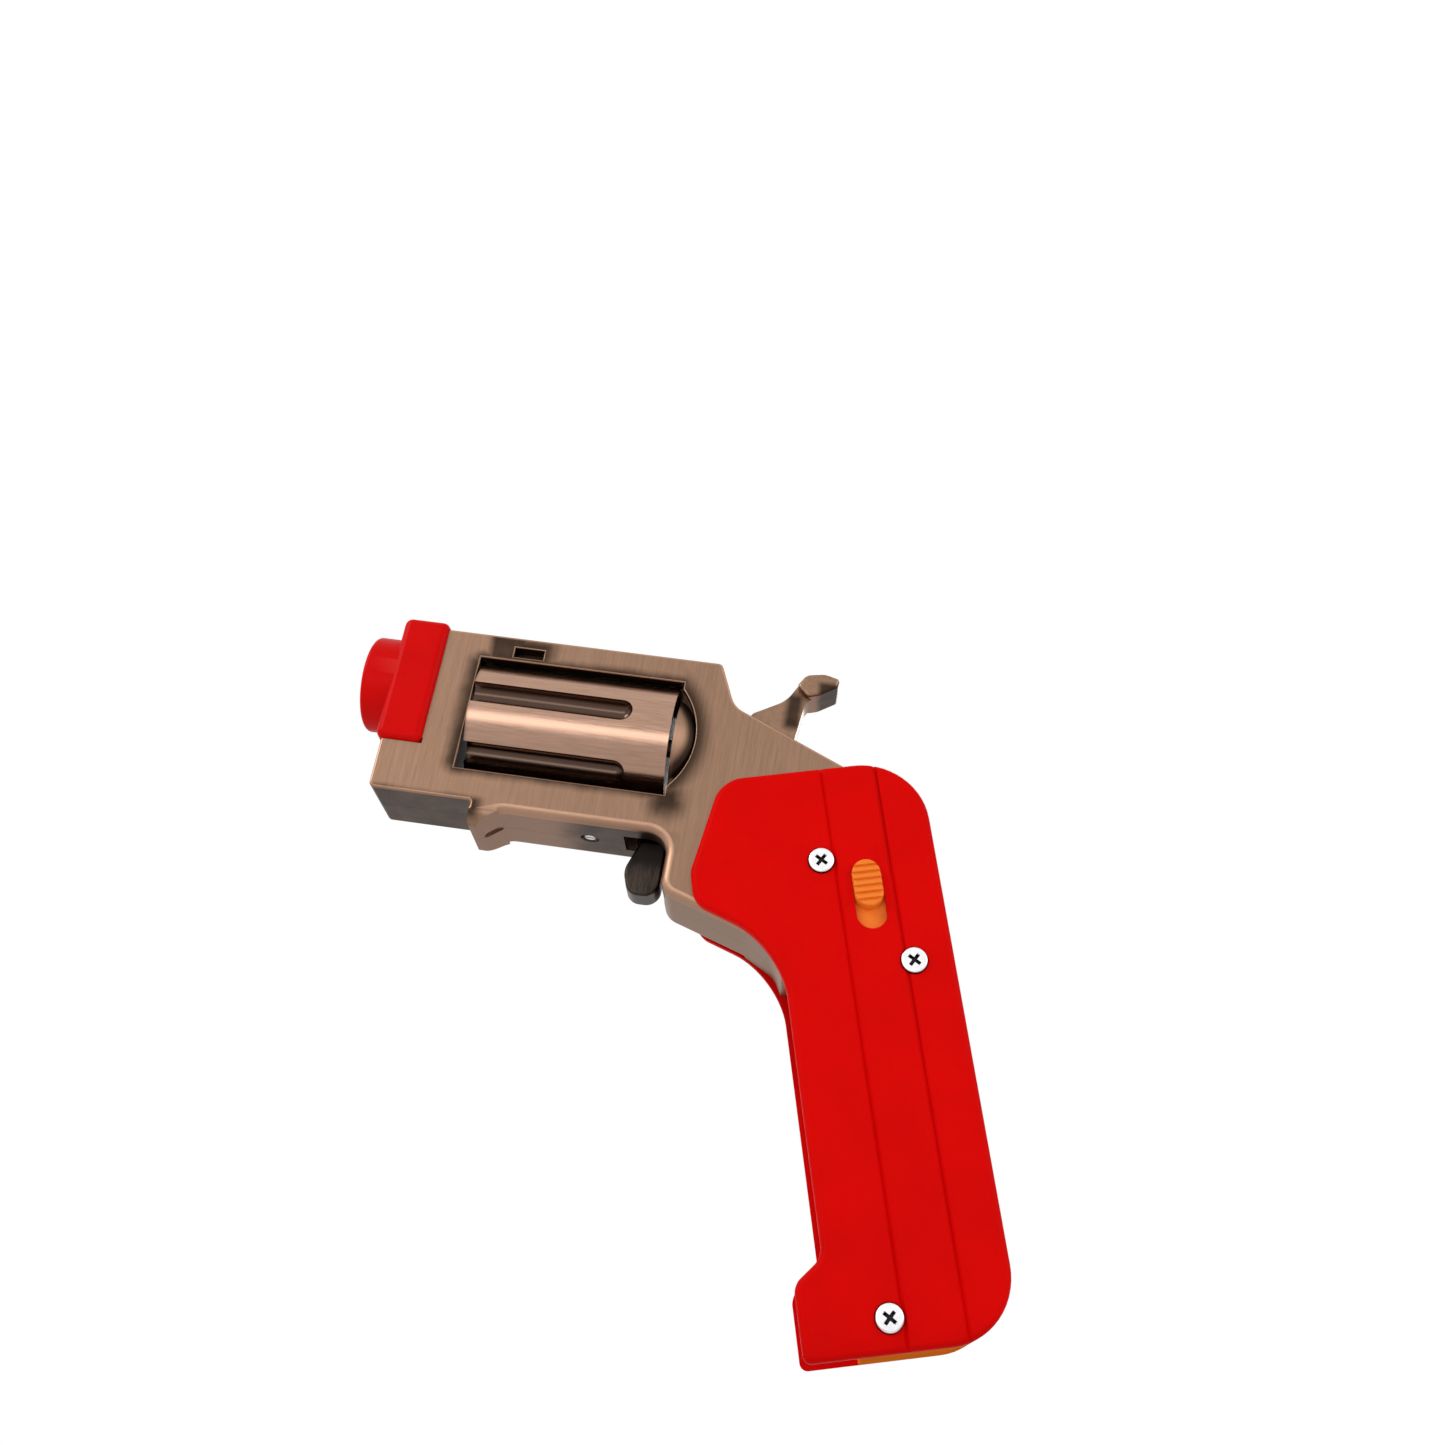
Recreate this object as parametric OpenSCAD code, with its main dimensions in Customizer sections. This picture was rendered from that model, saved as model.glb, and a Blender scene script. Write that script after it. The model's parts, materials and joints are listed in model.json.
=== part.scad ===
// A folding pocket torch lighter shaped like a small revolver.
// Its barrel frame folds on a hub between the two grip shells, where a knife's blade would.
// Row frame: the origin is the middle of the flat butt face, +Z runs up the grip, the muzzle
// points to -X when the lighter is open, and the left side (screws and slider) faces -Y.
// Barrel pieces are drawn in the barrel's own place: u runs from the fold hub towards the
// muzzle, w runs up towards the top strap, and y is shared with the row frame.

/* [Grip] */
// Height of the grip, from the butt face to its top edge
grip_h = 85.8; // [75:0.1:105]
// Depth of the straight grip, front edge to back edge
grip_w = 25.4; // [22:0.1:32]
// Side wall of each grip shell
shell_wall = 1.85; // [1.7:0.05:2.6]
// Wall along the back of the grip
back_wall = 1.3; // [1:0.05:2]
// How far the toe at the butt stands out in front of the straight front edge
toe_out = 4.35; // [2.5:0.05:5.5]
// Height of the toe's flat front
toe_h = 10.2; // [7:0.1:13]
// How far the bulge round the hub stands out in front of the straight front edge
bulge_out = 12.25; // [11.5:0.05:14]

/* [Fold] */
// Place of the fold hub behind the bulge, measured forwards from the grip's middle line
hub_forward = 7.4; // [6.8:0.1:8]
// Height of the fold hub above the butt face
hub_up = 72.1; // [68:0.1:76]
// Radius of the fold hub
hub_r = 5.2; // [4.4:0.1:6]
// Lift of the barrel above square to the grip when the lighter is open
open_tilt = 15.05; // [8:0.05:20]

/* [Barrel frame] */
// Thickness of the whole frame, left half and right half together
frame_t = 14.4; // [13:0.1:17.5]
// Reach of the frame's front face from the hub
frame_front = 69.8; // [69:0.1:75]
// Height of the top strap above the hub
strap_top = 31.5; // [31:0.1:34]
// Height of the frame's underside above the hub
underside = 2; // [1.6:0.1:2.6]
// Gap between each frame side and the shell beside it
side_gap = 0.25; // [0.2:0.01:0.5]

/* [Cylinder] */
// Radius of the fluted cylinder
drum_r = 10; // [9:0.1:10.1]
// Length of the fluted cylinder
drum_len = 32.8; // [27:0.1:33]
// Height of the cylinder's axis above the hub
drum_w = 18.3; // [17.8:0.1:18.4]
// Gap round and behind the cylinder
drum_gap = 0.35; // [0.25:0.05:0.5]
// Number of flutes
flutes = 6; // [5:1:8]

/* [Muzzle] */
// Length of the cap that sits over the front of the frame
cap_len = 7.7; // [6.5:0.1:9]
// Wall of the cap
cap_wall = 0.9; // [0.8:0.05:1.4]
// Radius of the round nozzle on the cap
nozzle_r = 8; // [7:0.1:8.4]
// Length of the nozzle in front of the cap
nozzle_len = 4.8; // [3.5:0.1:8]
// Radius of the flame opening
flame_r = 4; // [3.8:0.1:4.6]

/* [Fasteners] */
// Radius of the grip screws' heads
screw_head_r = 2; // [1.7:0.05:2.4]
// Radius of the grip screws' shanks
screw_r = 0.85; // [0.7:0.05:1]

/* [Fits] */
// Radial running clearance of a shaft in its bore
run = 0.05; // [0.02:0.01:0.08]
// Radial clearance of a pin, screw or tube in a fixed hole
seat = 0.03; // [0.01:0.01:0.08]

/* [Hidden] */
$fn = 64;
arc_step = 9;
past = 1;

RED = [0.83, 0.04, 0.03];
ORANGE = [0.91, 0.42, 0.09];
COPPER = [0.61, 0.45, 0.38];
DARK = [0.16, 0.14, 0.12];
STEEL = [0.78, 0.78, 0.8];
BRASS = [0.8, 0.66, 0.35];

// Grip
half_w = grip_w / 2;
front_x = -half_w;
toe_x = front_x - toe_out;
bulge_x = front_x - bulge_out;
butt_corner_r = 9.5;
top_corner_r = 10.3;
flare_r = 14.9;
flare_z = hub_up - 14;
bulge_low_z = hub_up - 5.9;
bulge_top_z = hub_up - 0.8;
brow_x = bulge_x + 6.3;
toe_step = 3.2;
channel = frame_t + 2 * side_gap;
shell_out = channel / 2 + shell_wall;
shell_in = channel / 2;
hub_x = -hub_forward;

// Barrel frame
frame_y = frame_t / 2;
strap_rear_u = 17.4;
notch_u = 14.3;
notch_w = strap_top - 7.4;
slope_end_u = -5;
slope = 0.43;
rear_u = -9.5;
tang_w = -18.3;
tang_tip_u = 0.9;
strap_front_u = 21.2;
heel_w = -8.45;
lug_front_u = 53.1;
lug_rear_u = 48.6;
lug_w = -1.8;
lug_round = 2.6;
belly = 0.9;

// Cylinder
drum_rear_u = 23.6;
drum_front_u = drum_rear_u + drum_len;
drum_end_gap = 0.6;
window_r = drum_r + drum_gap;
window_rear_u = drum_rear_u - drum_end_gap;
window_front_u = drum_front_u + drum_end_gap;
window_low_w = 7.2;
window_top_w = strap_top - 4.3;
flute_cut_r = 1.95;
flute_axis_r = drum_r - 0.4;
flute_end_u = drum_rear_u + 8.4;
flute_phase = 8;
arbor_r = 1.5;
arbor_seat = 2.4;
arbor_front_seat = 1.2;
dome_r = drum_r + 0.4;
dome_back = 4.8;
dome_w = drum_w - 1;
recess_r = 13;
recess_u = window_rear_u + 9.7;
recess_depth = 1.4;

// Muzzle
cap_front_u = frame_front + 1;
cap_rear_u = cap_front_u - cap_len;
cap_low_w = 10.5;
cap_top_w = strap_top + 1;
cap_y = frame_y + cap_wall;
cap_fit = 0.05;
tenon_front_u = cap_front_u - 0.8;
nozzle_w = 23;
nozzle_front_u = cap_front_u + nozzle_len;
rim_r = flame_r + 1.8;
rim_depth = 0.9;
chamber_r = flame_r + 0.2;
chamber_rear_u = window_front_u + arbor_front_seat + 0.6;

// Burner and spark gap
burner_r = 2.6;
burner_bore_r = 1.9;
burner_w = nozzle_w - 0.4;
burner_rear_u = chamber_rear_u + 0.2;
burner_front_u = cap_front_u + 0.8;
jet_r = 0.35;
spark_w = nozzle_w + 3;
ceramic_r = 0.7;
ceramic_len = 7;
needle_r = 0.25;
needle_len = 11.5;

// Trigger
trigger_u = 25.3;
trigger_w = underside + 2.1;
trigger_y = 2.6;
trigger_gap = 0.4;
trigger_pin_r = 0.8;
trigger_pin_y = 4.2;
trigger_eye_r = 1.75;
trigger_eye_y = 1.3;
trigger_back_u = 21.6;
trigger_front_u = 27.8;
trigger_tip_w = -8.2;

// Spark igniter
igniter_rear_u = hub_r + 2.2;
igniter_front_u = 18;
igniter_low_w = -3.4;
igniter_top_w = 3.2;
igniter_y = 3.5;
pocket_gap = 0.15;
plunger_w = -1.9;
plunger_r = 1.4;
plunger_front_u = trigger_back_u - 0.3;
plunger_rear_u = 15.5;
plunger_bore_u = 13.4;

// Hammer
hammer_u = 9;
hammer_w = 15.3;
hammer_y = 2.1;
hammer_gap = 0.3;
hammer_pin_r = 1;
hammer_pin_y = 5;
spur_y = 3.5;

// Fuel tube and spark wire inside the frame
line_y = frame_y - 1.8;
line_w = underside + 2.2;
tube_r = 0.8;
wire_r = 0.4;
riser_u = cap_rear_u - 1.5;

// Seals on the hub, either side of the fuel channel
seal_ys = [line_y - 1.25, line_y + 1.25];
seal_r = 0.45;
seal_ring_r = hub_r - seal_r - 0.02;

// Frame screws and small parts
frame_screw_r = 0.7;
frame_head_r = 1.55;
frame_head_h = 0.9;
frame_screw_w = strap_top - 1.9;
frame_screw_us = [59.4, 27.6];
air_slot_u = 49.2;
air_slot_w = strap_top - 2.7;
air_slot_len = 4.9;
air_slot_h = 1.7;
air_slot_depth = 2.4;
index_u = 34.4;
index_r = 0.9;

// Grip screws, seen from the left: place along x and z
grip_screws = [[-4.9, hub_up - 1.7], [6.6, 53.2], [-4.8, 4.5]];
head_sink = 0.4;
head_proud = 0.45;
post_r = 2.1;
base_post_r = 1.8;

// Slider
slider_x = 1.5;
slider_w = 4.4;
slider_len = 7.5;
slider_top_z = 69.5;
slider_travel = 3.1;
slider_proud = 1.2;
slider_gap = 0.1;
slider_pocket = 0.9;
clip_t = 0.2;
slot_low_z = slider_top_z - slider_len - slider_travel - slider_gap;
foot_low_z = slot_low_z - 0.7;

// Fuel tank
tank_front_x = -4.9;
tank_back_x = half_w - back_wall - 0.3;
tank_y = shell_in - 0.25;
tank_top_z = 42.5;
tank_wall = 1.3;
base_t = 2.2;
base_front_x = -8.8;
base_y = shell_in - 0.05;
valve_x = 3;
valve_r = 1.7;
valve_flange_r = 2.4;
valve_bore_r = 0.75;
valve_bore_len = 5;
valve_sink = 0.3;

// Flame wheel
wheel_r = 4.5;
wheel_proud = 0.6;
wheel_x = half_w + wheel_proud - wheel_r;
wheel_z = 19;
wheel_y = 1.5;
wheel_room = 0.5;
wheel_notches = 18;
spindle_r = 1.1;

// Fuel tube in the grip
low_tube_r = 0.6;
low_tube_x = 8.2;
low_tube_y = shell_in + low_tube_r + 0.05;
outlet_z = tank_top_z - tank_wall - 1.4;

// ---- Outlines ----

function unit(v) = v / norm(v);

// The signed turn from one angle to another, the short way round
function turn(from, to) = let (t = (to - from) % 360) t > 180 ? t - 360 : t < -180 ? t + 360 : t;

// The points of one corner of an outline: the corner itself, or an arc of radius r
function corner(a, b, c, r) =
    r == 0 ? [b] :
    let (p = unit(a - b), q = unit(c - b), half = acos(p * q) / 2,
         middle = b + unit(p + q) * r / sin(half), reach = r / tan(half),
         start = b + p * reach - middle, end = b + q * reach - middle,
         from = atan2(start.y, start.x), by = turn(from, atan2(end.y, end.x)),
         steps = max(1, ceil(abs(by) / arc_step)))
    [for (i = [0:steps]) middle + r * [cos(from + by * i / steps), sin(from + by * i / steps)]];

function flat(p) = [p.x, p.y];

// An outline from its corners, each [across, up, radius]
function outline(p) =
    let (n = len(p))
    [for (i = [0:n - 1]) each corner(flat(p[(i + n - 1) % n]), flat(p[i]), flat(p[(i + 1) % n]), p[i][2])];

// A side view drawn as x and z, given a thickness from y0 to y1
module slab(y0, y1) translate([0, y1, 0]) rotate([90, 0, 0]) linear_extrude(y1 - y0) children();

module across(x, z, r, y0, y1) translate([x, y1, z]) rotate([90, 0, 0]) cylinder(h = y1 - y0, r = r);

module box(low, high) translate(low) cube(high - low);

// ---- Barrel helpers: u forwards, w up ----

module at_barrel() translate([hub_x, 0, hub_up]) rotate([0, open_tilt, 0]) children();

module side(y0, y1) slab(y0, y1) mirror([1, 0]) children();

module pin(u, w, r, y0, y1) across(-u, w, r, y0, y1);

module along(u0, u1, y, w, r) translate([-u0, y, w]) rotate([0, -90, 0]) cylinder(h = u1 - u0, r = r);

module upright(u, y, w0, w1, r) translate([-u, y, w0]) cylinder(h = w1 - w0, r = r);

module block(u0, u1, y0, y1, w0, w1) box([-u1, y0, w0], [-u0, y1, w1]);

module elbow(u, y, w, r) block(u - r, u + r, y - r, y + r, w - r, w + r);

// ---- Grip ----

module grip_outline() polygon(outline([
    [toe_x, 0, 0.6], [half_w, 0, butt_corner_r], [half_w, grip_h, top_corner_r],
    [brow_x, grip_h, 5], [bulge_x, bulge_top_z, 4], [bulge_x, bulge_low_z, 3.6],
    [front_x, flare_z, flare_r], [front_x, toe_h + toe_step, 3], [toe_x, toe_h, 2.4]]));

// The room inside the back wall, open towards the front
module grip_room() polygon(outline([
    [toe_x - 30, back_wall, 0], [half_w - back_wall, back_wall, butt_corner_r - back_wall],
    [half_w - back_wall, grip_h - back_wall, top_corner_r - back_wall],
    [toe_x - 30, grip_h - back_wall, 0]]));

// Half of the back wall, between the base plate and the top of the grip
module back_half(y0, y1) slab(y0, y1) intersection() {
    difference() { grip_outline(); grip_room(); }
    translate([3.6, base_t + 0.05]) square([grip_w, grip_h]);
}

module wheel_window() box(
    [half_w - 2 * back_wall, -wheel_y - wheel_room, wheel_z - wheel_r],
    [half_w + past, wheel_y + wheel_room, wheel_z + wheel_r]);

module stadium(x, w, z0, z1) {
    translate([x, z0 + w / 2]) circle(d = w);
    translate([x, z1 - w / 2]) circle(d = w);
    translate([x - w / 2, z0 + w / 2]) square([w, z1 - z0 - w]);
}

module slider_slot() {
    slot_w = slider_w + 2 * slider_gap;
    slab(-shell_out - past, -shell_in + past) stadium(slider_x, slot_w, slot_low_z, slider_top_z + slider_gap);
    box([slider_x - slider_w / 2 - 1.1, -shell_in - slider_pocket, foot_low_z - slider_travel - 0.2],
        [slider_x + slider_w / 2 + 1.1, -shell_in + past, slider_top_z + 1.7]);
}

module shell_left() color(RED) difference() {
    union() {
        slab(-shell_out, -shell_in) grip_outline();
        back_half(-shell_out, -0.02);
    }
    wheel_window();
    slider_slot();
    for (s = grip_screws) {
        across(s[0], s[1], screw_head_r + 0.1, -shell_out - past, -shell_out + head_sink);
        across(s[0], s[1], screw_r + seat, -shell_out - past, 0);
    }
}

module tube_groove() {
    for (leg = [[[low_tube_x, outlet_z], [low_tube_x, hub_up]], [[hub_x, hub_up], [low_tube_x, hub_up]]])
        box([leg[0][0] - low_tube_r - 0.1, shell_in - past, leg[0][1] - low_tube_r - 0.1],
            [leg[1][0] + low_tube_r + 0.1, low_tube_y + low_tube_r + 0.05, leg[1][1] + low_tube_r + 0.1]);
}

module shell_right() color(RED) difference() {
    union() {
        slab(shell_in, shell_out) grip_outline();
        back_half(0.02, shell_out);
        across(grip_screws[1][0], grip_screws[1][1], post_r, -shell_in + 0.05, shell_in + 0.1);
        across(grip_screws[2][0], grip_screws[2][1], base_post_r, -shell_in + 0.05, shell_in + 0.1);
    }
    wheel_window();
    tube_groove();
    for (s = [grip_screws[1], grip_screws[2]]) across(s[0], s[1], screw_r + seat, -frame_y - past, shell_in + 0.6);
    // Ring groove of the bare disc near the butt
    translate([2.2, shell_out + past, 20.9]) rotate([90, 0, 0]) difference() {
        cylinder(h = past + 0.25, r = 7.7);
        cylinder(h = past + 0.25, r = 7.3);
    }
}

module cross_recess(x, z, y) for (a = [45, 135])
    translate([x, y, z]) rotate([0, a, 0]) cube([2.2, 0.9, 0.45], center = true);

module grip_screws() color(STEEL) for (i = [0:2]) {
    s = grip_screws[i];
    end_y = i == 0 ? 3 : shell_in + 0.2;
    difference() {
        union() {
            across(s[0], s[1], screw_head_r, -shell_out - head_proud, -shell_out + head_sink - 0.02);
            across(s[0], s[1], screw_r, -shell_out, end_y);
        }
        cross_recess(s[0], s[1], -shell_out - head_proud);
    }
}

module fold_hub() color(STEEL) difference() {
    across(hub_x, hub_up, hub_r, -shell_in + 0.05, shell_in - 0.05);
    across(grip_screws[0][0], grip_screws[0][1], screw_r + seat, -shell_in - past, 3.1);
    across(hub_x, hub_up, tube_r + 0.05, line_y, shell_in + past);
    for (y = seal_ys) seal_groove(y);
    // Ring channel that feeds the frame's tube at every fold angle
    translate([hub_x, line_y + 0.6, hub_up]) rotate([90, 0, 0]) difference() {
        cylinder(h = 1.2, r = hub_r + past);
        cylinder(h = 1.2, r = hub_r - 0.5);
    }
    translate([hub_x - hub_r - past, line_y, hub_up]) rotate([0, 90, 0]) cylinder(h = hub_r + past, r = 0.5);
}

module seal_groove(y) translate([hub_x, y + seal_r + 0.05, hub_up]) rotate([90, 0, 0]) difference() {
    cylinder(h = 2 * seal_r + 0.1, r = hub_r + past);
    cylinder(h = 2 * seal_r + 0.1, r = seal_ring_r - seal_r - 0.02);
}

module hub_seals() color(DARK) for (y = seal_ys)
    translate([hub_x, y, hub_up]) rotate([90, 0, 0]) rotate_extrude() translate([seal_ring_r, 0]) circle(r = seal_r);

// Side view of the tank, drawn in by a wall where its hollow is wanted
module tank_side(wall) difference() {
    intersection() {
        translate([tank_front_x + wall, base_t + 0.05 + wall])
            square([tank_back_x - tank_front_x - 2 * wall, tank_top_z - base_t - 0.05 - 2 * wall]);
        polygon(outline([
            [tank_front_x - past, back_wall + 0.3 + wall, 0],
            [tank_back_x - wall, back_wall + 0.3 + wall, butt_corner_r - back_wall - 0.3 - wall],
            [tank_back_x - wall, grip_h, 0], [tank_front_x - past, grip_h, 0]]));
    }
    translate([tank_front_x - past, -past])
        square([grip_screws[2][0] - tank_front_x + past + base_post_r + 0.2 + wall,
                grip_screws[2][1] + past + base_post_r + 0.2 + wall]);
}

module wheel_room_box(wall) box(
    [wheel_x - wheel_r - wheel_room - wall, -wheel_y - wheel_room - wall, wheel_z - wheel_r - wheel_room - wall],
    [tank_back_x + past, wheel_y + wheel_room + wall, wheel_z + wheel_r + wheel_room + wall]);

module fuel_tank() color(ORANGE) difference() {
    slab(-tank_y, tank_y) tank_side(0);
    difference() {
        slab(-tank_y + tank_wall, tank_y - tank_wall) tank_side(tank_wall);
        wheel_room_box(tank_wall);
    }
    wheel_room_box(0);
    across(wheel_x, wheel_z, spindle_r + seat, -wheel_y - wheel_room - 0.9, wheel_y + wheel_room + 0.9);
    translate([valve_x, 0, 0]) cylinder(h = base_t + tank_wall + past, r = valve_r + seat);
    // Outlet for the fuel tube, on the right side near the top
    across(low_tube_x, outlet_z, low_tube_r, tank_y - tank_wall - past, tank_y + past);
}

module tank_base() color(ORANGE) difference() {
    slab(-base_y, base_y) intersection() {
        grip_outline();
        translate([base_front_x, -past]) square([grip_w, base_t + past]);
    }
    translate([valve_x, 0, -past]) cylinder(h = base_t + 2 * past, r = valve_flange_r + 0.05);
}

module refill_valve() color(BRASS) difference() {
    union() {
        translate([valve_x, 0, valve_sink]) cylinder(h = base_t - valve_sink, r = valve_flange_r);
        translate([valve_x, 0, valve_sink]) cylinder(h = valve_bore_len + 1.6, r = valve_r);
    }
    translate([valve_x, 0, valve_sink - past]) cylinder(h = valve_bore_len + past, r = valve_bore_r);
}

module flame_wheel() color(DARK) difference() {
    across(wheel_x, wheel_z, wheel_r, -wheel_y, wheel_y);
    across(wheel_x, wheel_z, spindle_r + run, -wheel_y - past, wheel_y + past);
    for (i = [0:wheel_notches - 1]) {
        a = i * 360 / wheel_notches;
        across(wheel_x + (wheel_r + 0.1) * cos(a), wheel_z + (wheel_r + 0.1) * sin(a), 0.4, -wheel_y - past, wheel_y + past);
    }
}

module flame_spindle() color(BRASS)
    across(wheel_x, wheel_z, spindle_r, -wheel_y - wheel_room - 0.85, wheel_y + wheel_room + 0.85);

module fuel_tube_lower() color(DARK) {
    translate([low_tube_x, low_tube_y, outlet_z]) cylinder(h = hub_up - outlet_z, r = low_tube_r);
    translate([hub_x, low_tube_y, hub_up]) rotate([0, 90, 0]) cylinder(h = low_tube_x - hub_x, r = low_tube_r);
    across(hub_x, hub_up, low_tube_r, line_y + 1.2, low_tube_y);
    across(low_tube_x, outlet_z, low_tube_r - 0.03, tank_y - tank_wall, low_tube_y);
    for (p = [[low_tube_x, outlet_z], [low_tube_x, hub_up], [hub_x, hub_up]])
        translate([p[0], low_tube_y, p[1]]) cube(2 * low_tube_r, center = true);
}

module slider_button() color(ORANGE) {
    low_z = slider_top_z - slider_len;
    difference() {
        slab(-shell_out - slider_proud, -shell_in - slider_pocket + 0.1)
            stadium(slider_x, slider_w, low_z, slider_top_z);
        for (i = [1:6]) box(
            [slider_x - slider_w, -shell_out - slider_proud - past, low_z + i * slider_len / 7 - 0.17],
            [slider_x + slider_w, -shell_out - slider_proud + 0.3, low_z + i * slider_len / 7 + 0.17]);
    }
    box([slider_x - slider_w / 2 - 0.9, -shell_in - slider_pocket + 0.05, foot_low_z],
        [slider_x + slider_w / 2 + 0.9, -shell_in - clip_t - 0.1, slider_top_z + 1]);
}

module slider_clip() color(STEEL) box(
    [slider_x - slider_w / 2 - 1, -shell_in - clip_t, foot_low_z - slider_travel - 0.1],
    [slider_x + slider_w / 2 + 1, -shell_in - 0.01, slider_top_z + 1.6]);

// ---- Barrel frame ----

module frame_outline() polygon(outline([
    [frame_front, underside, 1], [frame_front, cap_low_w - cap_fit, 0],
    [cap_rear_u - cap_fit, cap_low_w - cap_fit, 0], [cap_rear_u - cap_fit, cap_low_w + cap_wall + cap_fit, 0],
    [tenon_front_u, cap_low_w + cap_wall + cap_fit, 0], [tenon_front_u, strap_top, 0],
    [strap_rear_u, strap_top, 1], [notch_u, notch_w, 4],
    [slope_end_u, notch_w - slope * (notch_u - slope_end_u), 2], [rear_u, 9, 3], [rear_u, -5, 3],
    [-4, tang_w + 5.8, 2], [tang_tip_u - 2.4, tang_w, 0.8], [tang_tip_u, tang_w, 0.3],
    [tang_tip_u + 1.4, -15.8, 4], [7.2, -12.95, 9], [strap_front_u, heel_w, 3],
    [strap_front_u, belly, 3.3], [lug_rear_u, belly, 4], [lug_front_u - 1.2, lug_w, 0.8],
    [lug_front_u, lug_w, 0.4], [lug_front_u, underside, 0.5]]));

module hammer_slot() side(-hammer_y - hammer_gap, hammer_y + hammer_gap) polygon([
    [0.2, hammer_w - 3.4], [12.5, hammer_w - 3.4], [12.5, notch_w + 4], [notch_u, strap_top + past],
    [-12, strap_top + past], [-12, notch_w - slope * (notch_u + 3)], [0.2, notch_w - slope * (notch_u + 3)]]);

module trigger_slot() {
    side(-trigger_y - trigger_gap, trigger_y + trigger_gap) polygon([
        [igniter_front_u + 0.1, belly], [igniter_front_u + 0.1, heel_w + 0.75],
        [trigger_front_u + 0.9, heel_w + 0.75], [trigger_front_u + 0.9, trigger_w + 1.2],
        [trigger_u + 2.4, trigger_w + trigger_eye_r + 0.5], [trigger_back_u + 0.8, trigger_w + trigger_eye_r + 0.5],
        [trigger_back_u - 0.4, trigger_w], [trigger_back_u - 1.3, trigger_w - 1.1]]);
}

module line_groove(y, r) {
    along(14, riser_u, y, line_w, r);
    upright(14, y, 0, line_w, r);
    for (p = [[14, 0], [14, line_w], [riser_u, line_w]]) elbow(p[0], y, p[1], r);
}

module frame_body(y0, y1) difference() {
    side(y0, y1) frame_outline();
    block(window_rear_u, window_front_u, -frame_y - past, frame_y + past, window_low_w, window_top_w);
    along(window_rear_u, window_front_u, 0, drum_w, window_r);
    along(window_rear_u - arbor_seat, window_front_u + arbor_front_seat, 0, drum_w, arbor_r + seat);
    along(chamber_rear_u, cap_front_u + past, 0, nozzle_w, chamber_r);
    pin(0, 0, hub_r + run, -frame_y - past, frame_y + past);
    hammer_slot();
    pin(hammer_u, hammer_w, hammer_pin_r + seat, -hammer_pin_y, hammer_pin_y);
    trigger_slot();
    pin(trigger_u, trigger_w, trigger_pin_r + seat, -trigger_pin_y, trigger_pin_y);
    block(igniter_rear_u - pocket_gap, igniter_front_u + 0.2, -igniter_y - pocket_gap, igniter_y + pocket_gap,
          igniter_low_w - pocket_gap, igniter_top_w + pocket_gap);
    upright(index_u, 0, 0, drum_w, index_r + seat);
    upright(index_u, 0, 0, belly + 0.6, index_r + 0.6);
    for (y = [-1, 1]) lug_rounding(y);
    upright(riser_u, 0, line_w, nozzle_w, tube_r + 0.1);
    elbow(riser_u, 0, line_w, tube_r + 0.1);
    // Oval drain hole in the lug
    translate([-(lug_rear_u + 1.3), 0, lug_w - past]) linear_extrude(4.4) {
        translate([-0.6, 0]) circle(r = 0.8);
        translate([0.6, 0]) circle(r = 0.8);
        square([1.2, 1.6], center = true);
    }
    for (y = [-frame_y - past, frame_y - air_slot_depth])
        block(air_slot_u - air_slot_len / 2, air_slot_u + air_slot_len / 2, y, y + air_slot_depth + past,
              air_slot_w - air_slot_h / 2, air_slot_w + air_slot_h / 2);
    for (y = [-frame_y - past, frame_y - recess_depth]) dome_recess(y, y + recess_depth + past);
    children();
}

// Takes the lug's lower corner off, on one side, in a quarter round
module lug_rounding(y) {
    edge = frame_y - lug_round;
    difference() {
        block(44, lug_front_u + 1, min(y * edge, y * (frame_y + past)), max(y * edge, y * (frame_y + past)),
              lug_w - past, lug_w + lug_round);
        along(43, lug_front_u + 2, y * edge, lug_w + lug_round, lug_round);
    }
}

// The sunk crescent behind the window, which the dome rises from
module dome_recess(y0, y1) intersection() {
    pin(recess_u, dome_w, recess_r, y0, y1);
    block(recess_u - recess_r - past, window_rear_u + past, y0, y1, 0, strap_top);
}

// The cast dome behind the cylinder, on one side
module dome(y0, y1) intersection() {
    translate([-(window_rear_u + dome_back), 0, dome_w]) sphere(r = dome_r);
    block(window_rear_u - dome_r, window_rear_u, y0, y1, 0, strap_top);
}

module frame_half_left() color(COPPER) at_barrel() {
    frame_body(-frame_y, -0.02) {
        line_groove(-line_y, wire_r + 0.15);
        pin(14, 0, wire_r + 0.15, -line_y, -igniter_y + past);
        upright(riser_u, -line_y, line_w, spark_w, wire_r + 0.15);
        pin(riser_u, spark_w, wire_r + 0.15, -line_y, 0);
        elbow(riser_u, -line_y, spark_w, wire_r + 0.15);
        for (u = frame_screw_us) pin(u, frame_screw_w, frame_screw_r + seat, -5, past);
    }
    dome(-dome_r, -frame_y + recess_depth + 0.5);
}

module frame_half_right() color(COPPER) at_barrel() {
    frame_body(0.02, frame_y) {
        line_groove(line_y, tube_r + 0.1);
        along(hub_r, 14, line_y, 0, tube_r + 0.1);
        pin(riser_u, line_w, tube_r + 0.1, 0, line_y);
        for (u = frame_screw_us) {
            pin(u, frame_screw_w, frame_screw_r + seat, -past, frame_y + past);
            pin(u, frame_screw_w, frame_head_r + 0.1, frame_y - frame_head_h, frame_y + past);
        }
    }
    dome(frame_y - recess_depth - 0.5, dome_r);
}

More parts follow.
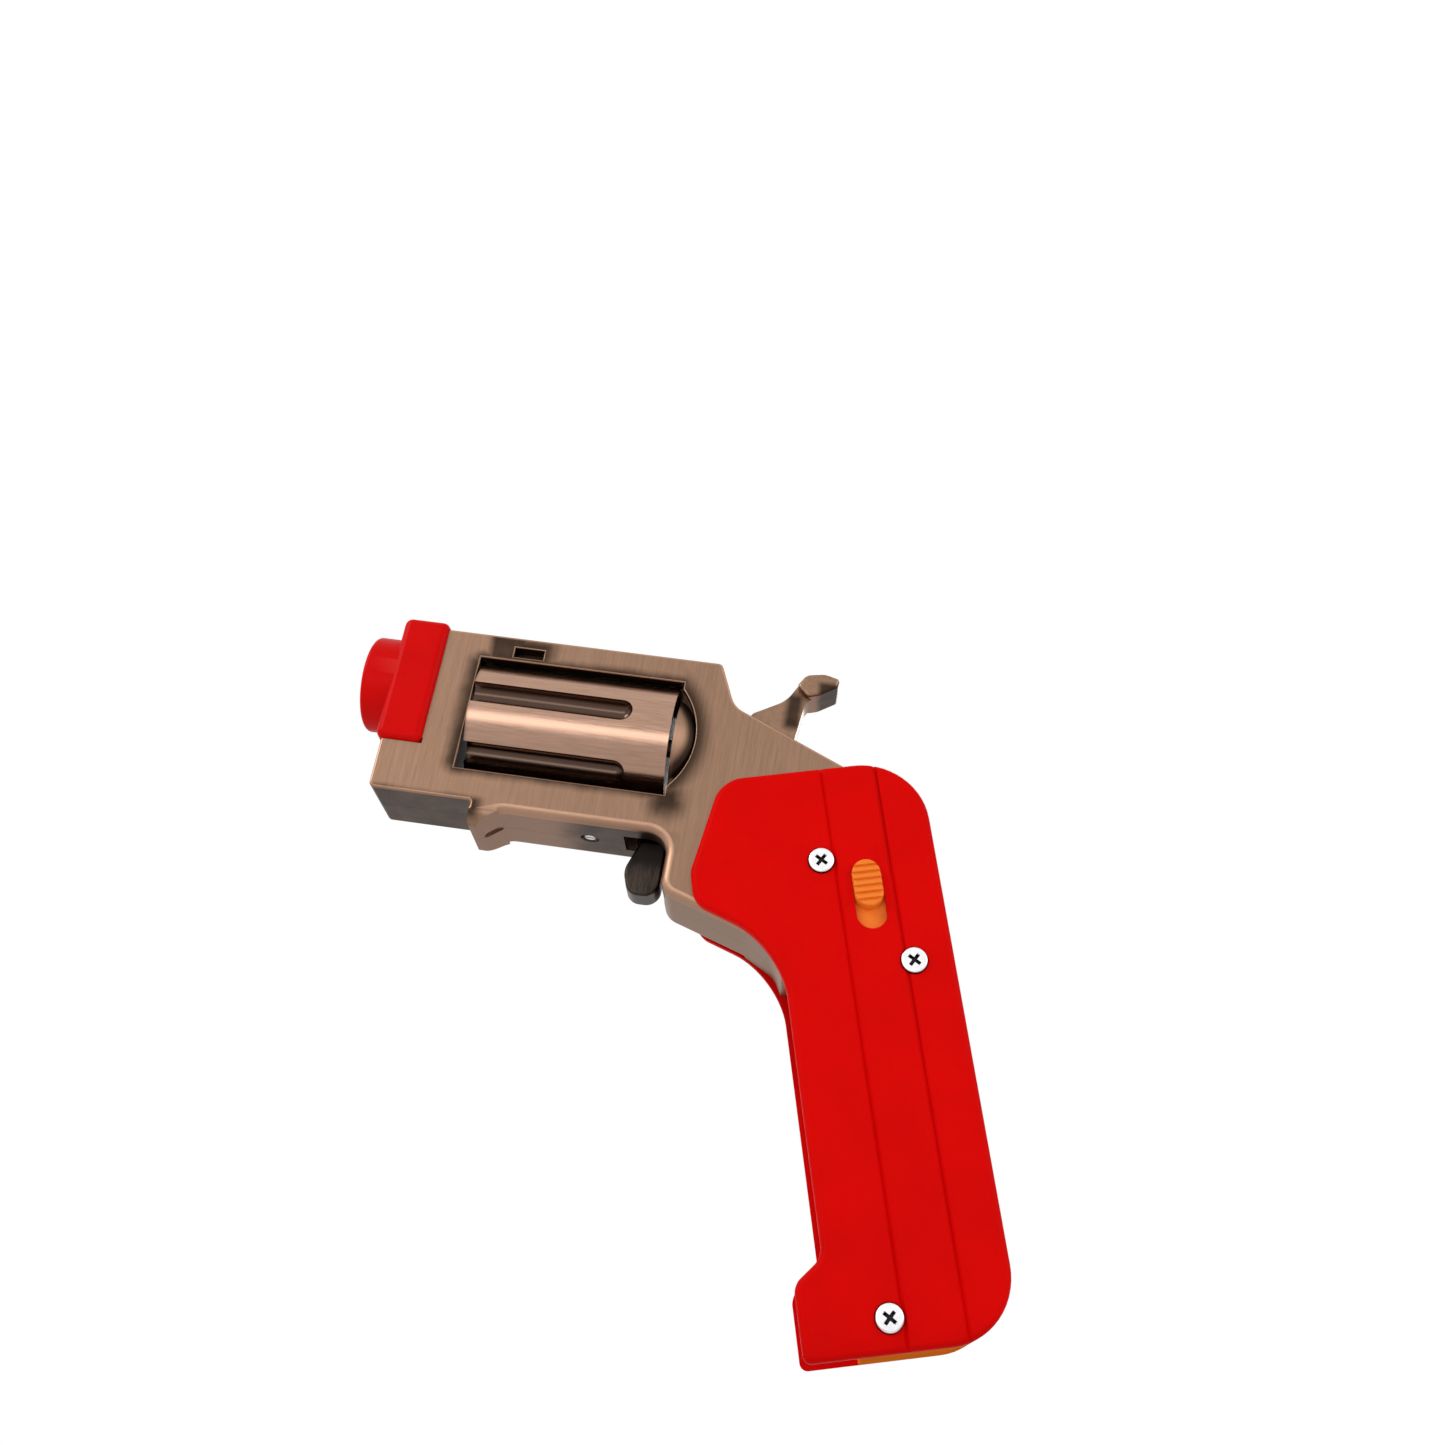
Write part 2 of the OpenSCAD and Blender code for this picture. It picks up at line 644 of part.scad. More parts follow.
module frame_screws() color(DARK) at_barrel() for (u = frame_screw_us) difference() {
    union() {
        pin(u, frame_screw_w, frame_screw_r, -4.9, frame_y - 0.3);
        pin(u, frame_screw_w, frame_head_r, frame_y - frame_head_h + 0.02, frame_y - 0.1);
    }
    for (a = [0, 90]) translate([-u, frame_y - 0.1, frame_screw_w]) rotate([0, a, 0])
        cube([1.7, 0.7, 0.4], center = true);
}

module muzzle_cap() color(RED) at_barrel() difference() {
    union() {
        block(cap_rear_u, cap_front_u, -cap_y, cap_y, cap_low_w, cap_top_w);
        along(cap_front_u - 0.5, nozzle_front_u, 0, nozzle_w, nozzle_r);
    }
    block(cap_rear_u - past, tenon_front_u + cap_fit, -frame_y - cap_fit, frame_y + cap_fit,
          cap_low_w + cap_wall, strap_top + cap_fit);
    along(cap_rear_u, nozzle_front_u + past, 0, nozzle_w, flame_r);
    along(nozzle_front_u - rim_depth, nozzle_front_u + past, 0, nozzle_w, rim_r);
}

module burner() color(STEEL) at_barrel() difference() {
    union() {
        along(burner_rear_u, burner_front_u, 0, burner_w, burner_r);
        along(burner_rear_u, burner_rear_u + 1.2, 0, nozzle_w, chamber_r - 0.05);
    }
    along(burner_rear_u + 3, burner_front_u + past, 0, burner_w, burner_bore_r);
    along(burner_rear_u - past, burner_rear_u + 3 + past, 0, burner_w, 1.2 + seat);
    along(burner_rear_u - past, burner_rear_u + 1.3, 0, spark_w, 0.6);
    // Side inlet for the fuel tube and a row of air holes
    upright(riser_u, 0, burner_w - burner_r - past, burner_w, tube_r - 0.2);
    for (a = [60, 180, 300]) translate([-(burner_rear_u + 8.2), 0, burner_w]) rotate([a, 0, 0])
        cylinder(h = burner_r + past, r = 0.5);
}

module gas_jet() color(BRASS) at_barrel() difference() {
    along(burner_rear_u, burner_rear_u + 4.2, 0, burner_w, 1.2);
    along(burner_rear_u - past, burner_rear_u + 4.2 + past, 0, burner_w, jet_r);
}

module ceramic_sleeve() color("white") at_barrel() difference() {
    along(riser_u + 0.9, riser_u + 0.9 + ceramic_len, 0, spark_w, ceramic_r);
    along(riser_u, riser_u + ceramic_len + 2, 0, spark_w, needle_r + seat);
}

module spark_needle() color(STEEL) at_barrel()
    along(riser_u + wire_r, riser_u + wire_r + needle_len, 0, spark_w, needle_r);

module spark_wire() color(DARK) at_barrel() {
    pin(14, 0, wire_r, -line_y, -igniter_y);
    upright(14, -line_y, 0, line_w, wire_r);
    along(14, riser_u, -line_y, line_w, wire_r);
    upright(riser_u, -line_y, line_w, spark_w, wire_r);
    pin(riser_u, spark_w, wire_r, -line_y, 0.3);
    for (p = [[14, 0], [14, line_w], [riser_u, line_w], [riser_u, spark_w]]) elbow(p[0], -line_y, p[1], wire_r);
}

module fuel_tube_upper() color(DARK) at_barrel() {
    along(hub_r + run + 0.05, 14, line_y, 0, tube_r);
    upright(14, line_y, 0, line_w, tube_r);
    along(14, riser_u, line_y, line_w, tube_r);
    pin(riser_u, line_w, tube_r, 0, line_y);
    upright(riser_u, 0, line_w, burner_w - burner_r - 0.02, tube_r);
    elbow(14, line_y, 0, tube_r);
    elbow(14, line_y, line_w, tube_r);
    elbow(riser_u, line_y, line_w, tube_r);
    elbow(riser_u, 0, line_w, tube_r);
}

module igniter_body() color(DARK) at_barrel() difference() {
    block(igniter_rear_u, igniter_front_u, -igniter_y, igniter_y, igniter_low_w, igniter_top_w);
    along(plunger_bore_u, igniter_front_u + past, 0, plunger_w, plunger_r + run);
}

module igniter_plunger() color(ORANGE) at_barrel() along(plunger_rear_u, plunger_front_u, 0, plunger_w, plunger_r);

module cylinder_body() difference() {
    along(drum_rear_u, drum_front_u, 0, drum_w, drum_r);
    along(drum_rear_u - past, drum_front_u + past, 0, drum_w, arbor_r + run);
    for (i = [0:flutes - 1]) {
        a = flute_phase + i * 360 / flutes;
        y = -flute_axis_r * cos(a);
        w = drum_w + flute_axis_r * sin(a);
        along(flute_end_u, drum_front_u + past, y, w, flute_cut_r);
        translate([-flute_end_u, y, w]) sphere(r = flute_cut_r);
    }
}

module fluted_cylinder() color(COPPER) at_barrel() cylinder_body();

module cylinder_arbor() color(STEEL) at_barrel()
    along(window_rear_u - arbor_seat + 0.1, window_front_u + arbor_front_seat - 0.1, 0, drum_w, arbor_r);

module index_pin() color(STEEL) at_barrel() difference() {
    upright(index_u, 0, belly + 0.15, drum_w - drum_r - 0.2, index_r);
    block(index_u - index_r, index_u + index_r, -0.2, 0.2, belly, belly + 0.5);
}

module trigger() color(COPPER) at_barrel() difference() {
    union() {
        pin(trigger_u, trigger_w, trigger_eye_r, -trigger_eye_y, trigger_eye_y);
        side(-trigger_eye_y, trigger_eye_y) polygon(outline([
            [trigger_back_u + 0.6, trigger_w - 1.8, 0.4], [trigger_u - 1.4, trigger_w + 1, 0.4],
            [trigger_u + 1.6, trigger_w + 0.6, 0.4], [trigger_u + 1.2, belly - 0.8, 0.4],
            [trigger_back_u + 0.4, belly - 0.8, 0.4]]));
        side(-trigger_y, trigger_y) polygon(outline([
            [trigger_back_u, belly, 0.6], [trigger_u + 0.6, belly, 0.8], [trigger_front_u, -4.4, 3],
            [trigger_front_u - 1.2, trigger_tip_w, 2], [trigger_back_u + 0.2, trigger_tip_w, 2.4]]));
    }
    pin(trigger_u, trigger_w, trigger_pin_r + run, -trigger_y - past, trigger_y + past);
}

module trigger_pin() color(STEEL) at_barrel()
    pin(trigger_u, trigger_w, trigger_pin_r, -trigger_pin_y + 0.05, trigger_pin_y - 0.05);

// Turns of a torsion spring round a pin
module coil(u, w, y, pin_r, wire, turns) translate([-u, y, w]) rotate([-90, 0, 0]) rotate_extrude()
    for (i = [0:turns - 1]) translate([pin_r + 0.12 + wire, wire + i * wire * 1.7]) circle(r = wire);

module trigger_spring() color(STEEL) at_barrel()
    coil(trigger_u, trigger_w, trigger_eye_y + 0.15, trigger_pin_r, 0.28, 3);

module hammer() color(COPPER) at_barrel() difference() {
    union() {
        side(-hammer_y, hammer_y) polygon(outline([
            [12.1, hammer_w - 1.8, 1.6], [12.1, notch_w - 1.2, 1], [11.8, 25.5, 1.2], [6.4, 28.7, 5],
            [4.3, 32.6, 0.8], [1.4, 33.2, 0.5], [1.4, 30.4, 0.3], [3.3, 28.6, 2.5], [4.2, 22, 4],
            [5.7, hammer_w, 2], [6.6, hammer_w - 2.8, 1.2], [10.6, hammer_w - 2.8, 1.2]]));
        side(-spur_y, spur_y) polygon(outline([
            [5, 31.2, 0.5], [3.7, 33.4, 1.4], [0.6, 34, 2], [-2, 33.3, 0.5], [-1.7, 31.8, 0.4],
            [1.2, 29.9, 2], [3.1, 29.3, 1]]));
    }
    pin(hammer_u, hammer_w, hammer_pin_r + run, -hammer_y - past, hammer_y + past);
    // Pocket for the torsion spring, on the right side of the hub
    translate([-hammer_u, hammer_y + past, hammer_w]) rotate([90, 0, 0]) cylinder(h = past + 1.5, r = 2.2);
}

module hammer_pin() color(STEEL) at_barrel()
    pin(hammer_u, hammer_w, hammer_pin_r, -hammer_pin_y + 0.05, hammer_pin_y - 0.05);

module hammer_spring() color(STEEL) at_barrel() coil(hammer_u, hammer_w, hammer_y - 1.45, hammer_pin_r, 0.3, 3);

shell_left();
shell_right();
grip_screws();
fold_hub();
hub_seals();
fuel_tank();
tank_base();
refill_valve();
flame_wheel();
flame_spindle();
fuel_tube_lower();
slider_button();
slider_clip();
frame_half_left();
frame_half_right();
frame_screws();
muzzle_cap();
burner();
gas_jet();
ceramic_sleeve();
spark_needle();
spark_wire();
fuel_tube_upper();
igniter_body();
igniter_plunger();
fluted_cylinder();  // cylinder
cylinder_arbor();
index_pin();
trigger();
trigger_pin();
trigger_spring();
hammer();
hammer_pin();
hammer_spring();
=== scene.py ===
# %% [markdown]
# # A folding pocket lighter
# This lighter is shaped like a small revolver. Its copper-plated barrel frame folds on a hub
# between two red grip shells. The measured model is loaded first, and every new piece is made
# around it, in the same place and at the same size.

# %% Load the measured model
import json
import math

import bmesh
import bpy
from mathutils import Matrix, Vector


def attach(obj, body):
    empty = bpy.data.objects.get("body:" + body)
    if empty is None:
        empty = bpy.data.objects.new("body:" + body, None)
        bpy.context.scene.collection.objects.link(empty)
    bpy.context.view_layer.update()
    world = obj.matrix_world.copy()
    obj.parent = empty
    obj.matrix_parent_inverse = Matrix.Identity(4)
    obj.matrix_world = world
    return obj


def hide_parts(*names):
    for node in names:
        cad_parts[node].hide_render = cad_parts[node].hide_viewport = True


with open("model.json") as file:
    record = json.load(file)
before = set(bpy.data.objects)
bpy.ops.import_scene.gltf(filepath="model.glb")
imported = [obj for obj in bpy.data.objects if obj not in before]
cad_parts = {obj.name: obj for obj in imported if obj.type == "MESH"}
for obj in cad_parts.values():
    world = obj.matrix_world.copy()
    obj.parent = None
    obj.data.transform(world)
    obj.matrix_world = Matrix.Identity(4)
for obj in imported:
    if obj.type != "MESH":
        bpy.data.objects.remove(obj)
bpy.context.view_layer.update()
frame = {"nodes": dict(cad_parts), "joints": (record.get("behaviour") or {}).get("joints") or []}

MM = 0.001  # one millimetre in metres, the unit that Blender works in
nodes = frame["nodes"]
print("loaded", len(nodes), "measured parts")

# %% [markdown]
# ## Two sets of directions
# The grip stands upright, so its pieces are drawn as x (front to back) and z (up). The barrel
# leans back, so its pieces are drawn along their own lines: u runs from the fold hub towards
# the muzzle, and w runs up to the top strap. One matrix carries them to their place. The hub
# and the lean are read from the joints, so nothing has to be typed twice.

# %% Place of the barrel
joints = {joint["name"]: joint for joint in frame["joints"]}
hub = Vector(joints["barrel_fold"]["pos_m"])
barrel_axis = Vector(joints["cylinder_spin"]["axis"])
lean = math.atan2(barrel_axis.z, -barrel_axis.x)
BARREL = Matrix.Translation(hub) @ Matrix.Rotation(lean, 4, "Y")
UPRIGHT = Matrix.Identity(4)


def barrel_spot(joint):
    """Where a joint of the barrel lies, as (u, w) in millimetres."""
    spot = BARREL.inverted() @ Vector(joints[joint]["pos_m"])
    return -spot.x / MM, spot.z / MM


trigger_u, trigger_w = barrel_spot("trigger_pull")
hammer_u, hammer_w = barrel_spot("hammer_cock")
_, drum_w = barrel_spot("cylinder_spin")
print(f"barrel leans {math.degrees(lean):.2f} degrees; trigger pin at {trigger_u:.1f}, {trigger_w:.1f}")

# %% [markdown]
# ## Small tools
# Most pieces here are plates cut to an outline. The outline is one flat face with a vertex at
# each corner, and a vertex bevel rounds each corner by its own radius. Extruding the face
# gives the plate its thickness, and an edge bevel rounds its rim.


# %% Outlines and plates
SHARP_TURN = 0.5  # two faces that meet at more than this many radians make an edge worth rounding


def rounded_face(corners, segments=8):
    """A flat face in the XZ plane from (across, up, radius) corners in millimetres."""
    bm = bmesh.new()
    spots = [Vector((x, 0, z)) for x, z, _ in corners]
    verts = [bm.verts.new(spot * MM) for spot in spots]
    bm.faces.new(verts)
    for i, (vert, (_, _, radius)) in enumerate(zip(verts, corners)):
        if radius:
            before = spots[i - 1] - spots[i]
            after = spots[(i + 1) % len(spots)] - spots[i]
            reach = radius / math.tan(before.angle(after) / 2)
            bmesh.ops.bevel(bm, geom=[vert], offset=reach * MM, offset_type="OFFSET", segments=segments,
                            profile=0.5, affect="VERTICES", material=-1)
    return bm


def plate(corners, y0, y1, segments=8):
    """A plate between y0 and y1, in millimetres."""
    bm = rounded_face(corners, segments)
    bmesh.ops.translate(bm, verts=bm.verts, vec=(0, y0 * MM, 0))
    grown = bmesh.ops.extrude_face_region(bm, geom=bm.faces[:], use_keep_orig=True)
    far = [part for part in grown["geom"] if isinstance(part, bmesh.types.BMVert)]
    bmesh.ops.translate(bm, verts=far, vec=(0, (y1 - y0) * MM, 0))
    bmesh.ops.recalc_face_normals(bm, faces=bm.faces)
    return bm


def barrel_plate(corners, y0, y1):
    """A plate whose corners are (u, w, radius), so that u runs towards -X."""
    return plate([(-u, w, radius) for u, w, radius in corners], y0, y1)


def round_rim(bm, y, radius, segments=4):
    """Rounds the edges where a plate's flat side at y meets its walls."""
    rim = [edge for edge in bm.edges
           if all(abs(vert.co.y - y * MM) < 1e-7 for vert in edge.verts)
           and edge.calc_face_angle(0) > SHARP_TURN]
    bmesh.ops.bevel(bm, geom=rim, offset=radius * MM, offset_type="OFFSET", segments=segments,
                    profile=0.5, affect="EDGES", material=-1, clamp_overlap=False)


def rod(radius, length, start, direction, segments=48):
    """A round rod from start, along direction, in millimetres."""
    bm = bmesh.new()
    bmesh.ops.create_cone(bm, cap_ends=True, segments=segments, radius1=radius * MM,
                          radius2=radius * MM, depth=length * MM)
    bmesh.ops.translate(bm, verts=bm.verts, vec=(0, 0, length * MM / 2))
    turn = Vector((0, 0, 1)).rotation_difference(Vector(direction)).to_matrix().to_4x4()
    bmesh.ops.transform(bm, matrix=Matrix.Translation(Vector(start) * MM) @ turn, verts=bm.verts)
    return bm


def brick(low, high):
    """A box between two corners, in millimetres."""
    bm = bmesh.new()
    bmesh.ops.create_cube(bm, size=1)
    size = [(b - a) * MM for a, b in zip(low, high)]
    middle = Vector([(a + b) * MM / 2 for a, b in zip(low, high)])
    bmesh.ops.scale(bm, verts=bm.verts, vec=size)
    bmesh.ops.translate(bm, verts=bm.verts, vec=middle)
    return bm


# %% [markdown]
# A shape that one bmesh can't give in one go is cut or joined with Boolean modifiers, as a
# maker drills and files a blank. The result is applied at once, so each finished piece is a
# plain mesh at the origin.


# %% Objects, cuts and finishing
def as_object(name, bm, place=UPRIGHT):
    """Turns a bmesh into an object, with its place in its mesh."""
    bmesh.ops.transform(bm, matrix=place, verts=bm.verts)
    bmesh.ops.recalc_face_normals(bm, faces=bm.faces)
    mesh = bpy.data.meshes.new(name)
    bm.to_mesh(mesh)
    bm.free()
    piece = bpy.data.objects.new(name, mesh)
    bpy.context.scene.collection.objects.link(piece)
    return piece


def settle(piece):
    """Applies a piece's modifiers to its mesh."""
    graph = bpy.context.evaluated_depsgraph_get()
    mesh = bpy.data.meshes.new_from_object(piece.evaluated_get(graph))
    piece.modifiers.clear()
    old, piece.data = piece.data, mesh
    bpy.data.meshes.remove(old)
    piece.data.name = piece.name


def shape_with(piece, operation, *tools, place=UPRIGHT):
    """Takes tools out of a piece (DIFFERENCE) or adds them to it (UNION)."""
    made = [as_object("tool", tool, place) for tool in tools]
    for tool in made:
        step = piece.modifiers.new("shape", "BOOLEAN")
        step.operation, step.solver, step.object = operation, "EXACT", tool
    settle(piece)
    for tool in made:
        bpy.data.meshes.remove(tool.data)


SOFTEN_ANGLE = math.radians(35)  # the bevel modifier rounds only edges sharper than this


def finish_piece(piece, body, slot, material, *stands_for, soften=0.0, angle=32, segments=2):
    """Rounds what is still sharp, shades it, paints it and fixes it to its body."""
    if soften:
        step = piece.modifiers.new("soften", "BEVEL")
        step.width, step.segments, step.limit_method = soften * MM, segments, "ANGLE"
        step.angle_limit, step.use_clamp_overlap = SOFTEN_ANGLE, True
        step.miter_outer = "MITER_ARC"
        settle(piece)
    mesh = piece.data
    mesh.polygons.foreach_set("use_smooth", [True] * len(mesh.polygons))
    mesh.set_sharp_from_angle(angle=math.radians(angle))
    mesh.materials.clear()
    mesh.materials.append(material)
    weight = piece.modifiers.new("flat_sides", "WEIGHTED_NORMAL")
    weight.keep_sharp = True
    settle(piece)
    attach(piece, body)
    if stands_for:
        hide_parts(*stands_for)
    print(f"{piece.name}: {len(piece.data.polygons)} faces, on {body}")


# %% [markdown]
# ## The view
# The camera looks up at the lighter from its left side and from below its butt, with a slight
# roll. Its axes are built from the three angles, and one matrix then carries them to the place
# at the right distance from the target.

# %% Camera
azimuth, elevation, roll = math.radians(-1.85), math.radians(-25.45), math.radians(-7.04)
target = Vector((-16.99, 0, 99.83)) * MM
distance = 259.14 * MM
look = Vector((-math.sin(azimuth) * math.cos(elevation), math.cos(azimuth) * math.cos(elevation),
               -math.sin(elevation)))
level_right = look.cross(Vector((0, 0, 1))).normalized()
level_up = level_right.cross(look)
right = level_right * math.cos(roll) + level_up * math.sin(roll)
up = -level_right * math.sin(roll) + level_up * math.cos(roll)
eye = bpy.data.cameras.new("eye")
eye.sensor_width = 36
eye.lens = 38.934311
eye.clip_start, eye.clip_end = 0.01, 20
camera = bpy.data.objects.new("camera", eye)
bpy.context.scene.collection.objects.link(camera)
camera.matrix_world = Matrix.Translation(target - look * distance) @ Matrix(
    (right, up, -look)).transposed().to_4x4()
bpy.context.scene.camera = camera
bpy.context.scene.view_settings.view_transform = "Standard"
print("camera at", [round(value, 4) for value in camera.matrix_world.translation])


# %% [markdown]
# Every shader here is a small graph of nodes. One helper adds a node, sets its menus and wires
# its inputs, so that a material reads as a list of what it does.


# %% Shader helper
def put(tree, kind, inputs=None, **menus):
    """Adds a node, sets its menus, and gives each input a value or a wire."""
    node = tree.nodes.new(kind)
    for name, value in menus.items():
        setattr(node, name, value)
    for name, value in (inputs or {}).items():
        if isinstance(value, bpy.types.NodeSocket):
            tree.links.new(value, node.inputs[name])
        else:
            node.inputs[name].default_value = value
    return node


def blank_material(name):
    material = bpy.data.materials.new(name)
    material.use_nodes = True
    tree = material.node_tree
    tree.nodes.clear()
    return material, tree, put(tree, "ShaderNodeOutputMaterial")


def math_step(tree, operation, *values):
    return put(tree, "ShaderNodeMath", dict(enumerate(values)), operation=operation).outputs[0]


def vector_step(tree, operation, *values, out="Vector"):
    """One step of vector maths. The length of a vector comes out of "Value"."""
    return put(tree, "ShaderNodeVectorMath", dict(enumerate(values)), operation=operation).outputs[out]


# %% [markdown]
# ## The floor and the light
# The floor is one upward face. Its underside is made clear, so that the low camera sees the
# lighter through it, and its upper side is a plain pale surface that takes the shadow. Rays that have come
# only a few millimetres pass, so that light reaches the butt, and far from the lighter the
# floor turns plain white for the camera, so that no horizon shows. The room is a soft white.
# Four broad lamps shape the lighter: the key from above and in front of the muzzle, a low
# one that draws the highlights along the cylinder and the belly, a fill from behind the
# grip, and one that lights the far side.

# %% Floor, world and lamps
FLOOR_Z, FLOOR_HALF = -0.3, 1500
CLEAR_REACH = 4 * MM  # rays shorter than this pass through the floor
FADE_FROM, FADE_TO = 0.1, 0.45  # metres from the middle, where the floor turns white

bm = bmesh.new()
bmesh.ops.create_grid(bm, x_segments=1, y_segments=1, size=FLOOR_HALF * MM)
bmesh.ops.translate(bm, verts=bm.verts, vec=(0, 0, FLOOR_Z * MM))
floor = bpy.data.objects.new("floor", bpy.data.meshes.new("floor"))
bm.to_mesh(floor.data)
bm.free()
bpy.context.scene.collection.objects.link(floor)

floor_material, tree, out = blank_material("pale_floor")
path = put(tree, "ShaderNodeLightPath")
face = put(tree, "ShaderNodeNewGeometry")
pale = put(tree, "ShaderNodeBsdfDiffuse", {"Color": (0.86, 0.86, 0.86, 1)})
clear = put(tree, "ShaderNodeBsdfTransparent")
close = math_step(tree, "LESS_THAN", path.outputs["Ray Length"], CLEAR_REACH)
seen = math_step(tree, "MAXIMUM", close, face.outputs["Backfacing"])
spread = vector_step(tree, "LENGTH", face.outputs["Position"], out="Value")
far = put(tree, "ShaderNodeMapRange", {"Value": spread, "From Min": FADE_FROM, "From Max": FADE_TO},
          interpolation_type="SMOOTHSTEP").outputs[0]
plain = put(tree, "ShaderNodeEmission", {"Color": (1, 1, 1, 1), "Strength": 1})
faded = put(tree, "ShaderNodeMixShader", {0: math_step(tree, "MULTIPLY", far, path.outputs["Is Camera Ray"]),
                                          1: pale.outputs[0], 2: plain.outputs[0]})
mix = put(tree, "ShaderNodeMixShader", {0: seen, 1: faded.outputs[0], 2: clear.outputs[0]})
tree.links.new(mix.outputs[0], out.inputs["Surface"])
floor.data.materials.append(floor_material)

world = bpy.data.worlds.new("studio")
bpy.context.scene.world = world
world.use_nodes = True
tree = world.node_tree
tree.nodes.clear()
path = put(tree, "ShaderNodeLightPath")
shown = math_step(tree, "MAXIMUM", path.outputs["Is Camera Ray"], path.outputs["Is Glossy Ray"])
shown = math_step(tree, "MAXIMUM", shown, path.outputs["Is Transmission Ray"])
room = put(tree, "ShaderNodeBackground", {"Color": (1, 1, 1, 1), "Strength": 0.5})
white = put(tree, "ShaderNodeBackground", {"Color": (1, 1, 1, 1), "Strength": 1})
mix = put(tree, "ShaderNodeMixShader", {0: shown, 1: room.outputs[0], 2: white.outputs[0]})
tree.links.new(mix.outputs[0], put(tree, "ShaderNodeOutputWorld").inputs["Surface"])


def soft_lamp(name, spot, aim, size, power):
    lamp = bpy.data.lights.new(name, "AREA")
    lamp.shape, lamp.size, lamp.size_y, lamp.energy = "RECTANGLE", size[0], size[1], power
    holder = bpy.data.objects.new(name, lamp)
    bpy.context.scene.collection.objects.link(holder)
    holder.location = spot
    holder.rotation_euler = (Vector(aim) - Vector(spot)).to_track_quat("-Z", "Y").to_euler()
    print("lamp", name, power, "W")


centre = (-0.02, 0, 0.07)
soft_lamp("key", (-0.42, -0.34, 0.5), centre, (0.3, 0.3), 1.7)
soft_lamp("front", (-0.18, -0.48, -0.02), centre, (0.3, 0.3), 0.65)
soft_lamp("fill", (0.4, -0.3, 0.12), centre, (0.35, 0.35), 0.75)
soft_lamp("back", (0.1, 0.45, 0.35), centre, (0.4, 0.3), 1.0)

# %% [markdown]
# ## Finishes
# Two effects are shared by several materials, so each is a node group. The first is the fine
# straight grain that a brush leaves in metal. The second is the soft uneven tone and very fine
# skin of a moulding.


# %% Shared groups
def new_group(name, inputs, outputs):
    group = bpy.data.node_groups.new(name, "ShaderNodeTree")
    for label, kind, value in inputs:
        socket = group.interface.new_socket(label, in_out="INPUT", socket_type=kind)
        if value is not None:
            socket.default_value = value
    for label, kind in outputs:
        group.interface.new_socket(label, in_out="OUTPUT", socket_type=kind)
    return group, put(group, "NodeGroupInput"), put(group, "NodeGroupOutput")


def grain_group():
    """Fine streaks: a noise that is stretched along one direction."""
    group, given, result = new_group(
        "brushed_grain",
        [("Vector", "NodeSocketVector", None), ("Scale", "NodeSocketFloat", 1.0),
         ("Blotches", "NodeSocketFloat", 0.3)],
        [("Streaks", "NodeSocketFloat")])
    vector, scale = given.outputs["Vector"], given.outputs["Scale"]
    fine = put(group, "ShaderNodeTexNoise", {
        "Vector": vector, "Scale": scale, "Detail": 4.0, "Roughness": 0.65})
    wide = put(group, "ShaderNodeTexNoise", {
        "Vector": vector, "Detail": 2.0, "Scale": math_step(group, "MULTIPLY", scale, 0.17)})
    mixed = put(group, "ShaderNodeMix", {
        0: given.outputs["Blotches"], 2: fine.outputs[0], 3: wide.outputs[0]})
    group.links.new(mixed.outputs[0], result.inputs["Streaks"])
    return group


def speckle_group():
    """A soft uneven tone and a very fine moulded skin, for the plastic parts."""
    group, given, result = new_group(
        "moulded_skin",
        [("Vector", "NodeSocketVector", None), ("Size", "NodeSocketFloat", 1.0)],
        [("Tone", "NodeSocketFloat"), ("Skin", "NodeSocketFloat")])
    vector, size = given.outputs["Vector"], given.outputs["Size"]
    tone = put(group, "ShaderNodeTexNoise", {
        "Vector": vector, "Detail": 3.0, "Scale": math_step(group, "DIVIDE", 0.09, size)})
    skin = put(group, "ShaderNodeTexNoise", {
        "Vector": vector, "Detail": 2.0, "Scale": math_step(group, "DIVIDE", 5.0, size)})
    group.links.new(tone.outputs[0], result.inputs["Tone"])
    group.links.new(skin.outputs[0], result.inputs["Skin"])
    return group


GRAIN, SKIN = grain_group(), speckle_group()


def barrel_millimetres(tree, stretch=(1, 1, 1)):
    """Object coordinates turned into the barrel's own lines, in millimetres: X is -u, Z is w."""
    spot = put(tree, "ShaderNodeTexCoord").outputs["Object"]
    turned = put(tree, "ShaderNodeMapping", {"Vector": spot, "Scale": (1 / MM,) * 3,
                                             "Rotation": (0, -lean, 0),
                                             "Location": Matrix.Rotation(-lean, 3, "Y") @ hub / -MM})
    if stretch == (1, 1, 1):
        return turned.outputs[0]
    return vector_step(tree, "MULTIPLY", turned.outputs[0], stretch)


def grip_millimetres(tree):
    """Object coordinates in millimetres, for what stands upright with the grip."""
    spot = put(tree, "ShaderNodeTexCoord").outputs["Object"]
    return put(tree, "ShaderNodeVectorMath", {0: spot, "Scale": 1 / MM}, operation="SCALE").outputs[0]


def blend(tree, amount, low, high):
    """A colour between two others."""
    node = put(tree, "ShaderNodeMix", data_type="RGBA")
    for socket, value in ((0, amount), (6, low), (7, high)):
        if isinstance(value, bpy.types.NodeSocket):
            tree.links.new(value, node.inputs[socket])
        else:
            node.inputs[socket].default_value = value if socket == 0 else (*value, 1)
    return node.outputs[2]


def ramp(tree, value, low, high, out_low=0.0, out_high=1.0):
    """A smooth step from out_low to out_high, while the value goes from low to high."""
    return put(tree, "ShaderNodeMapRange", {
        "Value": value, "From Min": low, "From Max": high, "To Min": out_low, "To Max": out_high},
        interpolation_type="SMOOTHSTEP").outputs[0]


def bump(tree, height, strength, depth):
    return put(tree, "ShaderNodeBump", {
        "Height": height, "Strength": strength, "Distance": depth * MM}).outputs[0]


